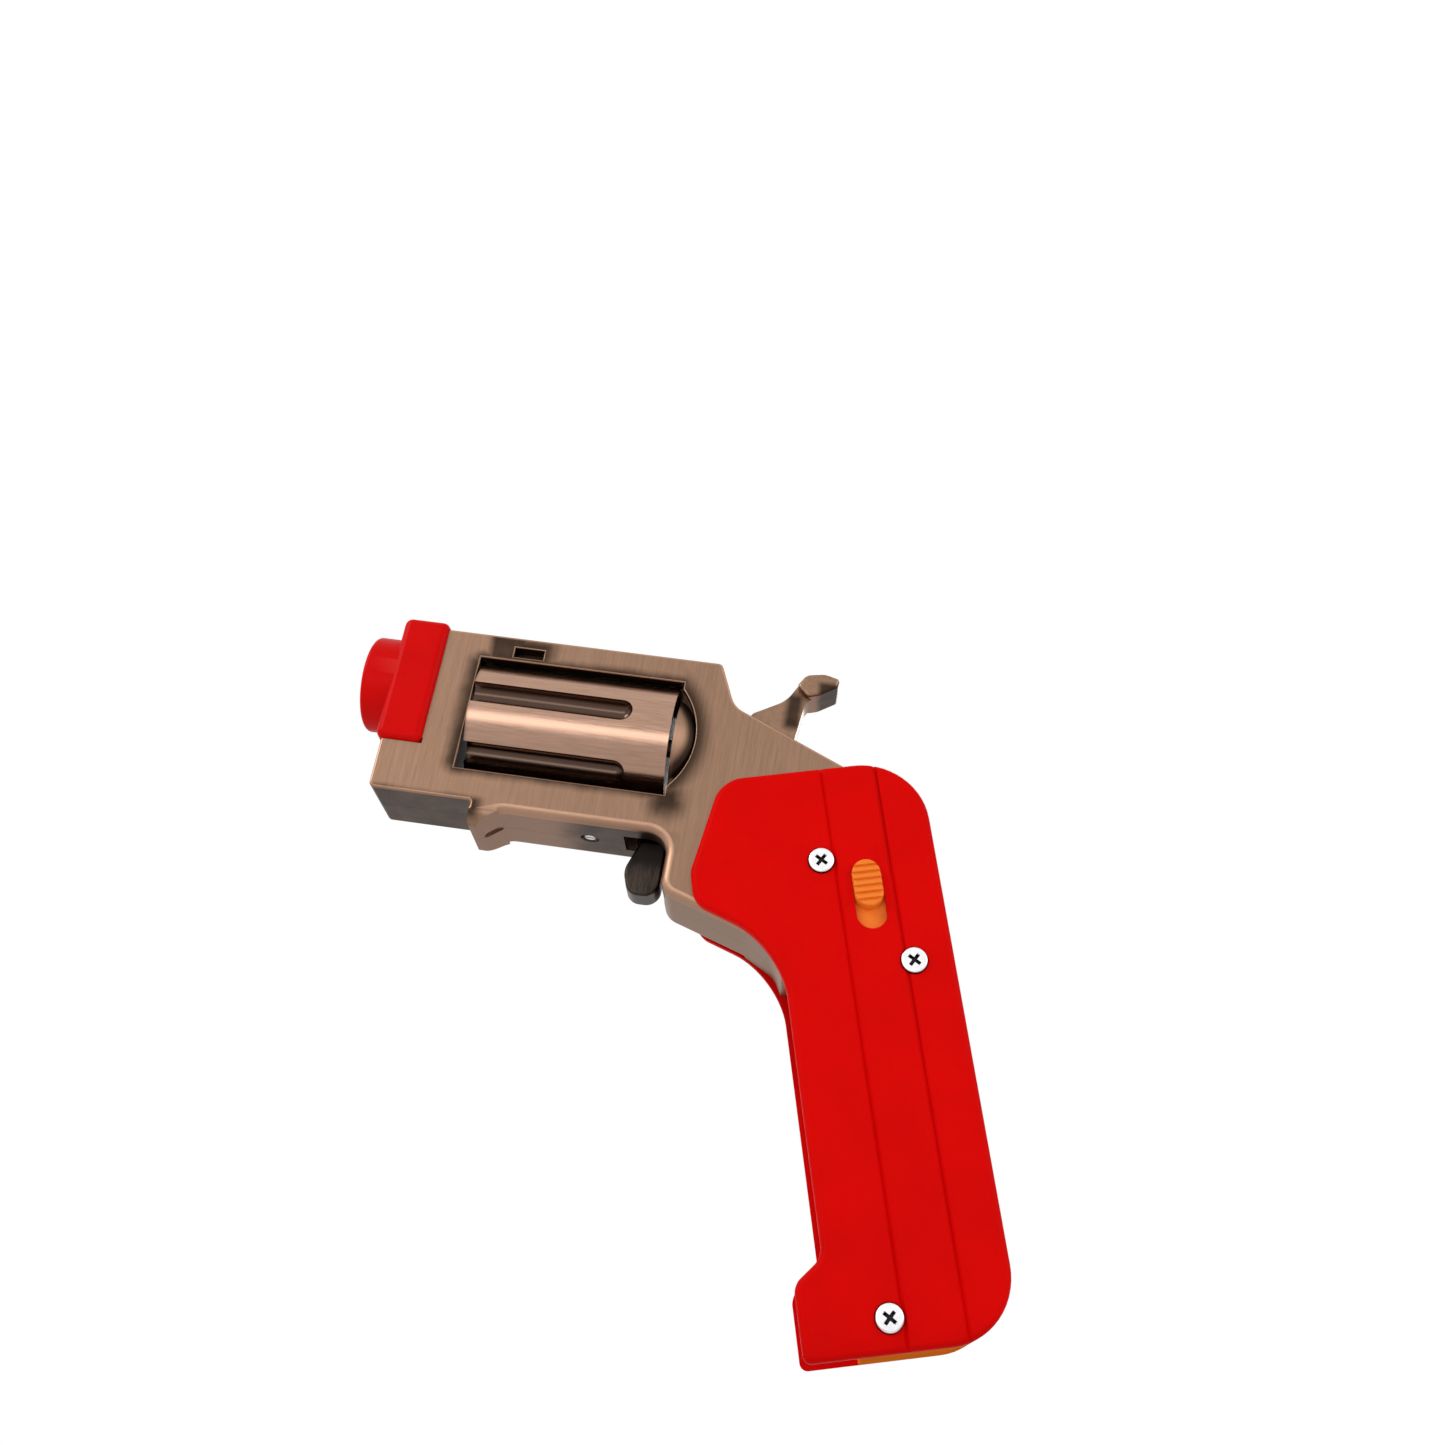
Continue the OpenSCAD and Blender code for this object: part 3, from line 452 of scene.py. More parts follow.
def grain_streaks(tree, lines, scale, blotches):
    """The shared grain as a mask, drawn along the given coordinates."""
    grain = tree.nodes.new("ShaderNodeGroup")
    grain.node_tree = GRAIN
    tree.links.new(lines, grain.inputs["Vector"])
    grain.inputs["Scale"].default_value = scale
    grain.inputs["Blotches"].default_value = blotches
    return grain.outputs["Streaks"]


# %% [markdown]
# ### Antique copper
# The frame is a casting with brushed copper plate. The brush ran up and down its sides, so the
# grain follows w. Patina and painted shade darken it round the window that holds the cylinder,
# round the air slot above it and in the corner behind the trigger. Painted shade darkens the
# underside. The rims are painted lighter, as rubbed-bright wear and a painted highlight. Each
# dark place is a box drawn in u and w that fades out round itself, which a wavy noise keeps from
# looking drawn. Two more masks follow round shapes, both darkened with patina and painted shade:
# the sunk crescent behind the dome, and the flutes of the cylinder.


# %% Copper
def box_distance(tree, spot, middle, half, fade):
    """How far a point is outside a box drawn in u and w, as a share of the fade along each."""
    away = vector_step(tree, "SUBTRACT", spot, (middle[0], 0, middle[1]))
    away = vector_step(tree, "ABSOLUTE", away)
    away = vector_step(tree, "SUBTRACT", away, (half[0], 0, half[1]))
    away = vector_step(tree, "MAXIMUM", away, (0, 0, 0))
    away = vector_step(tree, "MULTIPLY", away, (1 / fade[0], 0, 1 / fade[1]))
    return vector_step(tree, "LENGTH", away, out="Value")


def dome_mask(tree, spot, patina_and_shade, u, w, behind, radius):
    """Darkens, as patina and painted shade, the crescent that starts this far behind (u, w), and keeps the
    dome itself clear of it.
    """
    away = vector_step(tree, "SUBTRACT", spot, (-u, 0, w))
    reach = vector_step(tree, "LENGTH", vector_step(tree, "MULTIPLY", away, (1, 0, 1)), out="Value")
    back = ramp(tree, put(tree, "ShaderNodeSeparateXYZ", {0: away}).outputs[0], behind, behind + 1.5)
    crescent = math_step(tree, "MULTIPLY", ramp(tree, reach, radius, radius + 3.4, 1.0, 0.0), back)
    patina_and_shade = math_step(tree, "MAXIMUM", patina_and_shade, crescent)
    side = math_step(tree, "ABSOLUTE", put(tree, "ShaderNodeSeparateXYZ", {0: spot}).outputs[1])
    return math_step(tree, "MULTIPLY", patina_and_shade, ramp(tree, side, *PROUD, 1.0, 0.0))


def flute_mask(tree, spot, patina_and_shade, w, dark_radius, unshaded_radius):
    """Darkens what lies deeper in the cylinder than its skin: painted shade and patina in the flutes."""
    level = vector_step(tree, "SUBTRACT", spot, (0, 0, w))
    level = vector_step(tree, "MULTIPLY", level, (0, 1, 1))
    radius = vector_step(tree, "LENGTH", level, out="Value")
    return math_step(tree, "MAXIMUM", patina_and_shade, ramp(tree, radius, dark_radius, unshaded_radius, 1.0, 0.0))


WAVE_SCALE, WAVE_HEIGHT, BLOTCHES = 0.22, 0.7, 0.35
# How far patina and painted shade darken the copper, and how far the rims are painted lighter, as
# rubbed-bright wear and a painted highlight
PATINA_AND_SHADE_COVER, RIM_WEAR_AND_HIGHLIGHT_COVER, RIM_WEAR_AND_HIGHLIGHT_GAIN = 0.92, 0.55, 1.6
PROUD = (7.25, 8.4)  # from just outside the frame's flat side, the dome is kept clear of the patina and painted shade


def copper(name, light, middle, dark, stretch, hollows, roughness=0.34, dome=None, core=None):
    """Brushed copper with patina, painted shade and a painted highlight on the rims.

    hollows: boxes darkened with patina and painted shade, each as (middle), (half size) and (fade) in u and
    w.
    dome: (u, w, how far behind, radius) of the crescent darkened with patina and painted shade. core: (w,
    dark radius, unshaded radius) of a cylinder whose flutes are darkened with painted shade and patina.
    """
    material, tree, out = blank_material(name)
    spot = barrel_millimetres(tree)
    streaks = grain_streaks(tree, barrel_millimetres(tree, stretch), 1.0, BLOTCHES)
    cloud = put(tree, "ShaderNodeTexNoise", {"Vector": spot, "Scale": WAVE_SCALE, "Detail": 4.0}).outputs[0]
    waves = math_step(tree, "MULTIPLY", math_step(tree, "SUBTRACT", cloud, 0.5), WAVE_HEIGHT)
    patina_and_shade = None
    for (u, w), half, fade in hollows:
        reach = box_distance(tree, spot, (-u, w), half, fade)
        mask = ramp(tree, math_step(tree, "ADD", reach, waves), -0.1, 1, 1.0, 0.0)
        patina_and_shade = mask if patina_and_shade is None else math_step(tree, "MAXIMUM", patina_and_shade, mask)
    if dome:
        patina_and_shade = dome_mask(tree, spot, patina_and_shade, *dome)
    if core:
        patina_and_shade = flute_mask(tree, spot, patina_and_shade, *core)
    colour = blend(tree, ramp(tree, streaks, 0.3, 0.7), middle, light)
    # Painted shade and patina: where the masks reach, the copper turns towards its dark tone
    colour = blend(tree, math_step(tree, "MULTIPLY", patina_and_shade, PATINA_AND_SHADE_COVER), colour, dark)
    # Painted highlight with rubbed-bright wear: the faces marked as rim turn a lighter copper
    edge = put(tree, "ShaderNodeAttribute", attribute_name="rim").outputs["Fac"]
    bright = tuple(min(1, value * RIM_WEAR_AND_HIGHLIGHT_GAIN) for value in light)
    colour = blend(tree, math_step(tree, "MULTIPLY", edge, RIM_WEAR_AND_HIGHLIGHT_COVER), colour, bright)
    rough = ramp(tree, streaks, 0.3, 0.7, roughness - 0.06, roughness + 0.08)
    shader = put(tree, "ShaderNodeBsdfPrincipled", {
        "Base Color": colour, "Metallic": 1.0, "Roughness": rough, "Normal": bump(tree, streaks, 0.12, 0.05)})
    tree.links.new(shader.outputs[0], out.inputs["Surface"])
    print("material", name)
    return material


# Three tones each: light and middle for the grain, dark for the patina and the painted shade
COPPER = ((0.33, 0.197, 0.13), (0.25, 0.147, 0.096), (0.022, 0.014, 0.01))
HIGHLIT_COPPER = ((0.52, 0.325, 0.235), (0.38, 0.228, 0.16), (0.06, 0.038, 0.029))
DARKER_COPPER = ((0.07, 0.052, 0.043), (0.028, 0.022, 0.018), (0.012, 0.01, 0.009))
frame_copper = copper(
    "antique_copper_frame", *COPPER, (14, 14, 0.3), [
        ((40, 17.2), (17, 10), (1.8, 1.8)),      # patina and painted shade in and round the window
        ((52.8, 29.2), (2.2, 1.6), (1.6, 2)),    # patina and painted shade in front of the air slot
        ((49, 29), (2, 1.2), (4.5, 2.4)),        # patina and painted shade round the air slot
        ((22.4, 6.4), (0.8, 0.8), (3.6, 4.6)),   # patina and painted shade in the corner behind the trigger
        ((56, 17), (1.4, 9), (2.6, 2.6)),        # patina and painted shade in front of the cylinder, between it and the frame
        ((30, -0.6), (3, 1.4), (9, 1.1)),        # painted shade on the belly's underside
        ((61.5, 0.9), (9, 0.9), (2, 1.4))],      # painted shade under the muzzle
    roughness=0.42, dome=(32.7, drum_w - 1, 9, 13))
# The cylinder's lighter tones are a painted highlight. Painted shade and patina darken its flutes and its
# front end.
drum_copper = copper(
    "antique_copper_cylinder", *HIGHLIT_COPPER, (0.3, 9, 9),
    [((57, drum_w), (0.2, 12), (1, 1))], roughness=0.2, core=(drum_w, 8.9, 9.75))
# Painted shade in the curve of the hammer's neck and under the back of its spur.
hammer_copper = copper(
    "antique_copper_hammer", *COPPER, (1, 6, 1),
    [((5, 27), (0.6, 2.4), (1.6, 1.6)), ((-1.2, 31), (2, 0.7), (1.3, 1.2))])
# Darker copper tones for the trigger, and painted shade where it meets the frame.
trigger_copper = copper(
    "antique_copper_trigger", *DARKER_COPPER, (4, 1, 0.5), [((24.5, 0), (3, 2.5), (3, 3))])


# %% [markdown]
# ### Plastics
# The shells, the cap, the slider and the tank are moulded. A moulding has a faint unevenness
# of tone and a very fine skin, which a small bump gives.


# %% Plastics
def plastic(name, colour, roughness, gloss=0.5, uneven=0.12, skin=0.15, size=1.0, see_through=0.0):
    material, tree, out = blank_material(name)
    moulded = tree.nodes.new("ShaderNodeGroup")
    moulded.node_tree = SKIN
    tree.links.new(grip_millimetres(tree), moulded.inputs["Vector"])
    moulded.inputs["Size"].default_value = size
    deeper = tuple(value * (1 - 2 * uneven) for value in colour)
    tone = blend(tree, ramp(tree, moulded.outputs["Tone"], 0.3, 0.7), deeper, colour)
    rough = ramp(tree, moulded.outputs["Tone"], 0.3, 0.7, roughness, roughness + 0.06)
    shader = put(tree, "ShaderNodeBsdfPrincipled", {
        "Base Color": tone, "Roughness": rough, "Specular IOR Level": gloss,
        "Subsurface Weight": see_through, "Subsurface Scale": 2 * MM,
        "Normal": bump(tree, moulded.outputs["Skin"], skin, 0.03)})
    tree.links.new(shader.outputs[0], out.inputs["Surface"])
    print("material", name)
    return material


shell_red = plastic("shell_red", (0.69, 0.001, 0.0002), 0.5, gloss=0.04, uneven=0.04)
cap_red = plastic("cap_red", (0.62, 0.001, 0.0005), 0.36, gloss=0.06, uneven=0.05, skin=0.08)
slider_orange = plastic("slider_orange", (0.92, 0.22, 0.015), 0.35, gloss=0.3, uneven=0.06)
tank_orange = plastic("tank_orange", (0.86, 0.17, 0.012), 0.3, gloss=0.2, uneven=0.08, skin=0.05,
                      see_through=0.12)
base_orange = plastic("base_orange", (0.9, 0.2, 0.015), 0.7, gloss=0.0, uneven=0.06)
black_plastic = plastic("black_plastic", (0.02, 0.02, 0.02), 0.5)
tube_plastic = plastic("tube_plastic", (0.45, 0.45, 0.42), 0.3, see_through=0.3, size=0.4)
wire_jacket = plastic("wire_jacket", (0.08, 0.01, 0.01), 0.45, size=0.4)
seal_rubber = plastic("seal_rubber", (0.015, 0.015, 0.015), 0.6, size=0.3)
white_ceramic = plastic("white_ceramic", (0.85, 0.83, 0.78), 0.55, size=0.3)


# %% [markdown]
# ### Small metal parts
# Screws, pins and springs are plated or turned. They show fine marks and a few specks, so they
# use the same grain at a finer scale and without a stretch.


# %% Small metals
def small_metal(name, light, dark, roughness, recess=None):
    """recess is (top, floor): from the top to the floor along y the metal turns near black as painted shade,
    as in a screw's cross and on its head's side next to the shell.
    """
    material, tree, out = blank_material(name)
    streaks = grain_streaks(tree, grip_millimetres(tree), 2.2, 0.5)
    colour = blend(tree, ramp(tree, streaks, 0.3, 0.6), dark, light)
    if recess:
        depth = put(tree, "ShaderNodeSeparateXYZ", {0: grip_millimetres(tree)}).outputs[1]
        colour = blend(tree, ramp(tree, depth, *recess), colour, (0.02, 0.02, 0.022))
    rough = ramp(tree, streaks, 0.3, 0.7, roughness + 0.1, roughness)
    shader = put(tree, "ShaderNodeBsdfPrincipled", {
        "Base Color": colour, "Metallic": 1.0, "Roughness": rough, "Normal": bump(tree, streaks, 0.1, 0.03)})
    tree.links.new(shader.outputs[0], out.inputs["Surface"])
    return material


bright_zinc = small_metal("bright_zinc", (0.86, 0.87, 0.88), (0.66, 0.67, 0.69), 0.24)
# Painted shade: the screw heads turn near black in their cross and on the side next to the shell.
screw_zinc_shaded_recess = small_metal("screw_zinc_shaded_recess", (0.93, 0.93, 0.94), (0.76, 0.77, 0.79), 0.28, recess=(-9.7, -9.5))
plain_steel = small_metal("plain_steel", (0.62, 0.62, 0.63), (0.42, 0.42, 0.43), 0.3)
spring_wire = small_metal("spring_wire", (0.5, 0.5, 0.52), (0.3, 0.3, 0.32), 0.28)
black_steel = small_metal("black_steel", (0.06, 0.06, 0.06), (0.02, 0.02, 0.02), 0.42)
turned_brass = small_metal("turned_brass", (0.78, 0.56, 0.24), (0.6, 0.4, 0.15), 0.25)

PAINT = {
    "fold_hub": plain_steel, "hub_seals": seal_rubber, "fuel_tank": tank_orange, "refill_valve": turned_brass,
    "flame_spindle": turned_brass, "fuel_tube_lower": tube_plastic, "slider_clip": spring_wire,
    "burner": plain_steel, "gas_jet": turned_brass, "ceramic_sleeve": white_ceramic,
    "spark_needle": plain_steel, "spark_wire": wire_jacket, "fuel_tube_upper": tube_plastic,
    "igniter_body": black_plastic, "igniter_plunger": slider_orange, "cylinder_arbor": plain_steel,
    "index_pin": bright_zinc, "trigger_pin": plain_steel, "trigger_spring": spring_wire,
    "hammer_pin": plain_steel, "hammer_spring": spring_wire}
for node, material in PAINT.items():
    for holder in nodes[node].material_slots:
        holder.material = material
print("painted", len(PAINT), "measured parts")

# %% [markdown]
# ## Grip shells
# Each shell is a flat moulding with a rounded rim, two shallow grooves that run its full
# height on the left, and half of the wall that closes the back. The plate is cut from the same
# outline as the measured model. The grooves are made by cutting the face along three lines
# and pushing the middle line in.

# %% Grip sizes
SHELL_OUT, SHELL_IN, BACK_WALL = 9.3, 7.45, 1.3
GRIP_BACK, GRIP_FRONT, GRIP_TOP = 12.7, -12.7, 85.8
LOW_CORNER, TOP_CORNER = 9.5, 10.3
GRIP = [(-17.05, 0, 1.2), (GRIP_BACK, 0, LOW_CORNER), (GRIP_BACK, GRIP_TOP, TOP_CORNER),
        (-18.65, GRIP_TOP, 5), (-24.95, 71.3, 4), (-24.95, 66.2, 3.6), (GRIP_FRONT, 58.1, 14.9),
        (GRIP_FRONT, 13.4, 3), (-17.05, 10.2, 2.4)]
ROOM = [(-50, BACK_WALL, 0), (GRIP_BACK - BACK_WALL, BACK_WALL, LOW_CORNER - BACK_WALL),
        (GRIP_BACK - BACK_WALL, GRIP_TOP - BACK_WALL, TOP_CORNER - BACK_WALL),
        (-50, GRIP_TOP - BACK_WALL, 0)]
CHANNEL_REAR, BASE_TOP = 3.6, 2.25
WHEEL_WINDOW = (10.1, -2, 14.5), (20, 2, 23.5)
HUB_X, HUB_Z = -7.4, 72.1
GRIP_SCREWS = [(-4.9, 70.4), (6.6, 53.2), (-4.8, 4.5)]
SCREW_BORE = 0.9
RIM = 0.95


# %% Shell maker
def shell_blank(side):
    """side is -1 for the left shell and 1 for the right one."""
    bm = plate(GRIP, side * SHELL_OUT, 0, segments=14)
    round_rim(bm, side * SHELL_OUT, RIM, segments=5)
    return bm


def press_grooves(bm, side, lines, half_width, depth):
    """Cuts the outer face along upright lines and pushes each middle line in, less at the rim."""
    for line in lines:
        for offset in (-half_width, 0, half_width):
            bmesh.ops.bisect_plane(bm, geom=bm.verts[:] + bm.edges[:] + bm.faces[:], dist=1e-8,
                                   plane_co=((line + offset) * MM, 0, 0), plane_no=(1, 0, 0))
        for vert in bm.verts:
            near = (abs(vert.co.y) / MM - SHELL_OUT + RIM) / RIM
            if abs(vert.co.x / MM - line) < 1e-4 and near > 0:
                vert.co.y -= side * depth * MM * min(1, near * 1.6)


def hollow_out(piece, side):
    """Opens the shell's inside: the room, the channel, the base's place and the wheel's window."""
    y0, y1 = sorted((side * SHELL_IN, -side * 2))
    shape_with(piece, "DIFFERENCE", plate(ROOM, y0, y1, segments=14),
               brick((-60, y0, -5), (CHANNEL_REAR, y1, 100)), brick((-60, y0, -5), (60, y1, BASE_TOP)))
    shape_with(piece, "DIFFERENCE", brick(*WHEEL_WINDOW))
    return piece


left = shell_blank(-1)
press_grooves(left, -1, (-2.9, 5.5), 0.42, 0.42)
shell_left = hollow_out(as_object("shell_left_skin", left), -1)
print("left shell hollowed:", len(shell_left.data.polygons), "faces")

# %% [markdown]
# The left shell has three screw recesses, the slot of the slider, and behind the slot a pocket
# for the slider's wide foot. All are cut, because the real mould leaves them open.


# %% Left shell details
def stadium(x, width, low, high):
    """Corners of an upright slot with round ends."""
    half = width / 2 - 0.001
    return [(x - width / 2, low, half), (x + width / 2, low, half),
            (x + width / 2, high, half), (x - width / 2, high, half)]


SLIDER_X, SLIDER_W, SLIDER_TOP, SLIDER_LEN, SLIDER_TRAVEL = 1.5, 4.4, 69.5, 7.5, 3.1
slot_low = SLIDER_TOP - SLIDER_LEN - SLIDER_TRAVEL - 0.1
FOOT_LOW = slot_low - 0.7
slot = stadium(SLIDER_X, SLIDER_W + 0.2, slot_low, SLIDER_TOP + 0.1)
shape_with(shell_left, "DIFFERENCE", plate(slot, -12, -7, 10))
shape_with(shell_left, "DIFFERENCE", brick((SLIDER_X - 3.3, -8.35, FOOT_LOW - SLIDER_TRAVEL - 0.2),
                                           (SLIDER_X + 3.3, -6, SLIDER_TOP + 1.7)))
for x, z in GRIP_SCREWS:
    shape_with(shell_left, "DIFFERENCE", rod(2.1, 3, (x, -SHELL_OUT + 0.4, z), (0, -1, 0)),
               rod(SCREW_BORE, 12, (x, 0, z), (0, -1, 0), 24))
finish_piece(shell_left, "grip", "shell_red", shell_red, "shell_left", soften=0.1)

# %% [markdown]
# The right shell has a bare disc near the butt, marked by a ring groove, and a checkered panel
# above it. The panel is a shallow recess, and the checkering is its own piece that lies in it:
# a face cut along two sets of slanting lines, with the middle of each small diamond raised.

# %% Right shell
DISC_X, DISC_Z, DISC_R = 2.2, 20.9, 7.5
PANEL = [(-5.6, 31.0, 1.6), (-2.2, 31.4, 2), (2.2, 29.7, 9), (5.6, 31.4, 2), (8.6, 31.0, 1.6),
         (8.6, 74, 1.8), (-5.6, 74, 1.8)]
PANEL_DEEP, PANEL_GAP, PANEL_MIDDLE = 0.55, 0.05, Vector((1.5, 0, 52))
TUBE_X, TUBE_LOW = 8.2, 39.8  # the fuel tube's groove runs from here up, then across to the hub
shell_right = hollow_out(as_object("shell_right_skin", shell_blank(1)), 1)
for x, z, radius in ((*GRIP_SCREWS[1], 2.1), (*GRIP_SCREWS[2], 1.8)):
    shape_with(shell_right, "UNION", rod(radius, 2 * SHELL_IN, (x, -SHELL_IN + 0.05, z), (0, 1, 0)))
    shape_with(shell_right, "DIFFERENCE",
               rod(SCREW_BORE, 2 * SHELL_IN + 1.6, (x, -SHELL_IN - 1, z), (0, 1, 0), 24))
for low, high in (((TUBE_X, TUBE_LOW), (TUBE_X, HUB_Z)), ((HUB_X, HUB_Z), (TUBE_X, HUB_Z))):
    shape_with(shell_right, "DIFFERENCE",
               brick((low[0] - 0.7, 6.4, low[1] - 0.7), (high[0] + 0.7, 8.7, high[1] + 0.7)))
shape_with(shell_right, "DIFFERENCE", plate(PANEL, SHELL_OUT - PANEL_DEEP, SHELL_OUT + 1))


def ring_tool(radius, half_width, depth):
    """A ring with a rounded section, spun round the disc's middle."""
    bm = bmesh.new()
    bmesh.ops.create_circle(bm, cap_ends=False, segments=12, radius=half_width * MM)
    bmesh.ops.scale(bm, verts=bm.verts, vec=(1, depth / half_width, 1))
    bmesh.ops.translate(bm, verts=bm.verts, vec=((DISC_X + radius) * MM, SHELL_OUT * MM, DISC_Z * MM))
    bmesh.ops.spin(bm, geom=bm.verts[:] + bm.edges[:], cent=(DISC_X * MM, 0, DISC_Z * MM), axis=(0, 1, 0),
                   angle=math.tau, steps=96, use_merge=True)
    bmesh.ops.recalc_face_normals(bm, faces=bm.faces)
    return bm


shape_with(shell_right, "DIFFERENCE", ring_tool(DISC_R, 0.22, 0.3))
finish_piece(shell_right, "grip", "shell_red", shell_red, "shell_right", soften=0.1)


# %% Checkering
SKIN_DEEP, SLANT, ROWS = 0.2, 0.8, 60


def checkering(pitch, height):
    """A thin sheet of small diamonds, with the middle of each one raised by the height."""
    bm = rounded_face([(x + (PANEL_GAP if x < 0 else -PANEL_GAP), z, radius) for x, z, radius in PANEL])
    for slant in (SLANT, -SLANT):
        across = Vector((1, 0, slant)).normalized()
        for step in range(-ROWS, ROWS + 1):
            bmesh.ops.bisect_plane(bm, geom=bm.verts[:] + bm.edges[:] + bm.faces[:], dist=1e-8,
                                   plane_co=PANEL_MIDDLE * MM + across * step * pitch * MM, plane_no=across)
    grown = bmesh.ops.extrude_face_region(bm, geom=bm.faces[:], use_keep_orig=True)
    far = [part for part in grown["geom"] if isinstance(part, bmesh.types.BMVert)]
    bmesh.ops.translate(bm, verts=far, vec=(0, SKIN_DEEP * MM, 0))
    bmesh.ops.recalc_face_normals(bm, faces=bm.faces)
    whole = [face for face in bm.faces if face.normal.y > 0.9 and face.calc_area() > 0.2 * MM * MM]
    bmesh.ops.poke(bm, faces=whole, offset=height * MM)
    bmesh.ops.translate(bm, verts=bm.verts, vec=(0, (SHELL_OUT - PANEL_DEEP + 0.001) * MM, 0))
    return bm


panel = as_object("grip_checkering", checkering(0.85, 0.26))
finish_piece(panel, "grip", "shell_red", shell_red, angle=10)

# %% [markdown]
# ## Screws
# The grip screws have low pan heads with a cross recess, bright from their zinc plate. The two
# arms of the cross narrow towards their floor, as the driver's tip does.


# %% Grip screws
def grip_screw(x, z, end):
    """A screw at (x, z) whose shank reaches y = end."""
    head = rod(2.0, 0.83, (x, -SHELL_OUT + 0.38, z), (0, -1, 0), 40)
    round_rim(head, -SHELL_OUT - 0.45, 0.32, segments=3)
    piece = as_object("grip_screw", head)
    shape_with(piece, "UNION", rod(0.85, end + SHELL_OUT - 0.2, (x, end, z), (0, -1, 0), 24))
    for turn in (45, 135):
        arm = brick((-1.3, -0.5, -0.3), (1.3, 0.5, 0.3))
        tips = [vert for vert in arm.verts if vert.co.y > 0]
        bmesh.ops.scale(arm, verts=tips, vec=(0.5, 1, 0.7))
        bmesh.ops.rotate(arm, verts=arm.verts, matrix=Matrix.Rotation(math.radians(turn), 3, "Y"))
        bmesh.ops.translate(arm, verts=arm.verts, vec=(x * MM, (-SHELL_OUT - 0.3) * MM, z * MM))
        shape_with(piece, "DIFFERENCE", arm)
    return piece


screws = [grip_screw(*spot, 3 if i == 0 else SHELL_IN + 0.2) for i, spot in enumerate(GRIP_SCREWS)]
for i, piece in enumerate(screws):
    piece.name = f"grip_screw_{i + 1}"
    finish_piece(piece, "grip", "zinc", screw_zinc_shaded_recess, *(["grip_screws"] if i == 0 else []))

# %% [markdown]
# ## Slider
# An orange button with ribs across it. Its wide foot hides behind the shell and slides in a
# pocket.

# %% Slider
slider_low = SLIDER_TOP - SLIDER_LEN
button = plate(stadium(SLIDER_X, SLIDER_W, slider_low, SLIDER_TOP), -SHELL_OUT - 1.2, -8.3, segments=10)
round_rim(button, -SHELL_OUT - 1.2, 0.35, segments=3)
ribs = 7
for i in range(1, ribs):
    line = slider_low + i * SLIDER_LEN / ribs
    for offset in (-0.26, -0.09, 0.09, 0.26):
        bmesh.ops.bisect_plane(button, geom=button.verts[:] + button.edges[:] + button.faces[:], dist=1e-8,
                               plane_co=(0, 0, (line + offset) * MM), plane_no=(0, 0, 1))
    for vert in button.verts:
        if abs(vert.co.z / MM - line) < 0.1 and vert.co.y / MM < -SHELL_OUT - 0.8:
            vert.co.y += 0.38 * MM
slider = as_object("slider_button_ribbed", button)
shape_with(slider, "UNION", brick((SLIDER_X - 3.1, -8.3, FOOT_LOW), (SLIDER_X + 3.1, -7.75, SLIDER_TOP + 1)))
finish_piece(slider, "slider", "slider_orange", slider_orange, "slider_button")


# %% [markdown]
# ## Barrel frame
# Each half is a casting full of slots and bores that the moving parts run in. Its measured
# shape is right, so a merged copy of it is softened: the belly is rounded by a generous bevel,
# the rest of the outline by a fine one, and the window, the slot and the screw holes by the
# finest. The faces that the bevels make are marked as rim, so that the copper is painted
# lighter there, as rubbed-bright wear and a painted highlight.


# %% Frame halves
FRAME_Y = 7.2  # from the middle to the flat side
AIR_SLOT, FRAME_SCREWS, FRAME_SCREW_W = (49.2, 28.8), (59.4, 27.6), 29.6
BEVELS = {"belly": (1.3, 6), "outline": (0.38, 3), "window": (0.2, 2)}  # radius and segments


def merged(node, place=UPRIGHT):
    """A copy of a measured mesh, with its loose triangles joined into whole faces."""
    bm = bmesh.new()
    bm.from_mesh(nodes[node].data)
    bmesh.ops.transform(bm, matrix=place, verts=bm.verts)
    bmesh.ops.remove_doubles(bm, verts=bm.verts, dist=2e-6)
    bmesh.ops.dissolve_limit(bm, angle_limit=math.radians(0.6), verts=bm.verts, edges=bm.edges)
    return bm


def rim_group(u, w):
    """Which bevel an edge of the flat side gets, or None under the cap and at the hub."""
    if u > 63 and w > 9.5 or math.hypot(u, w) < 6.5:
        return None
    if 19.4 < u < 57.5 and 6.5 < w < 27.8:
        return "window"
    if abs(u - AIR_SLOT[0]) < 3 and abs(w - AIR_SLOT[1]) < 1.2:
        return "window"
    if any(math.hypot(u - at, w - FRAME_SCREW_W) < 2 for at in FRAME_SCREWS):
        return "window"
    return "belly" if 7 < u < 48.5 and w < 4 else "outline"


def softened_half(node, side):
    """A frame half whose flat side has rounded edges, marked as rim, where the copper is painted lighter as
    rubbed-bright wear and a painted highlight.
    """
    bm = merged(node, BARREL.inverted())
    groups = {name: [] for name in BEVELS}
    for edge in bm.edges:
        if len(edge.link_faces) != 2 or edge.calc_face_angle(0) < SHARP_TURN:
            continue
        if all(abs(vert.co.y - side * FRAME_Y * MM) < 2e-6 for vert in edge.verts):
            middle = (edge.verts[0].co + edge.verts[1].co) / 2 / MM
            group = rim_group(-middle.x, middle.z)
            if group:
                groups[group].append(edge)
    rim = []
    for name, (radius, segments) in BEVELS.items():
        edges = [edge for edge in groups[name] if edge.is_valid]
        made = bmesh.ops.bevel(bm, geom=edges, offset=radius * MM, offset_type="OFFSET", segments=segments,
                               profile=0.5, affect="EDGES", material=-1, clamp_overlap=False)
        rim += made["faces"]
        print(node, len(edges), "edges of the", name, "rounded by", radius)
    mark = bm.loops.layers.float.new("rim")
    for face in rim:
        if face.is_valid:
            for loop in face.loops:
                loop[mark] = 1.0
    return as_object(node + "_cast", bm, BARREL)


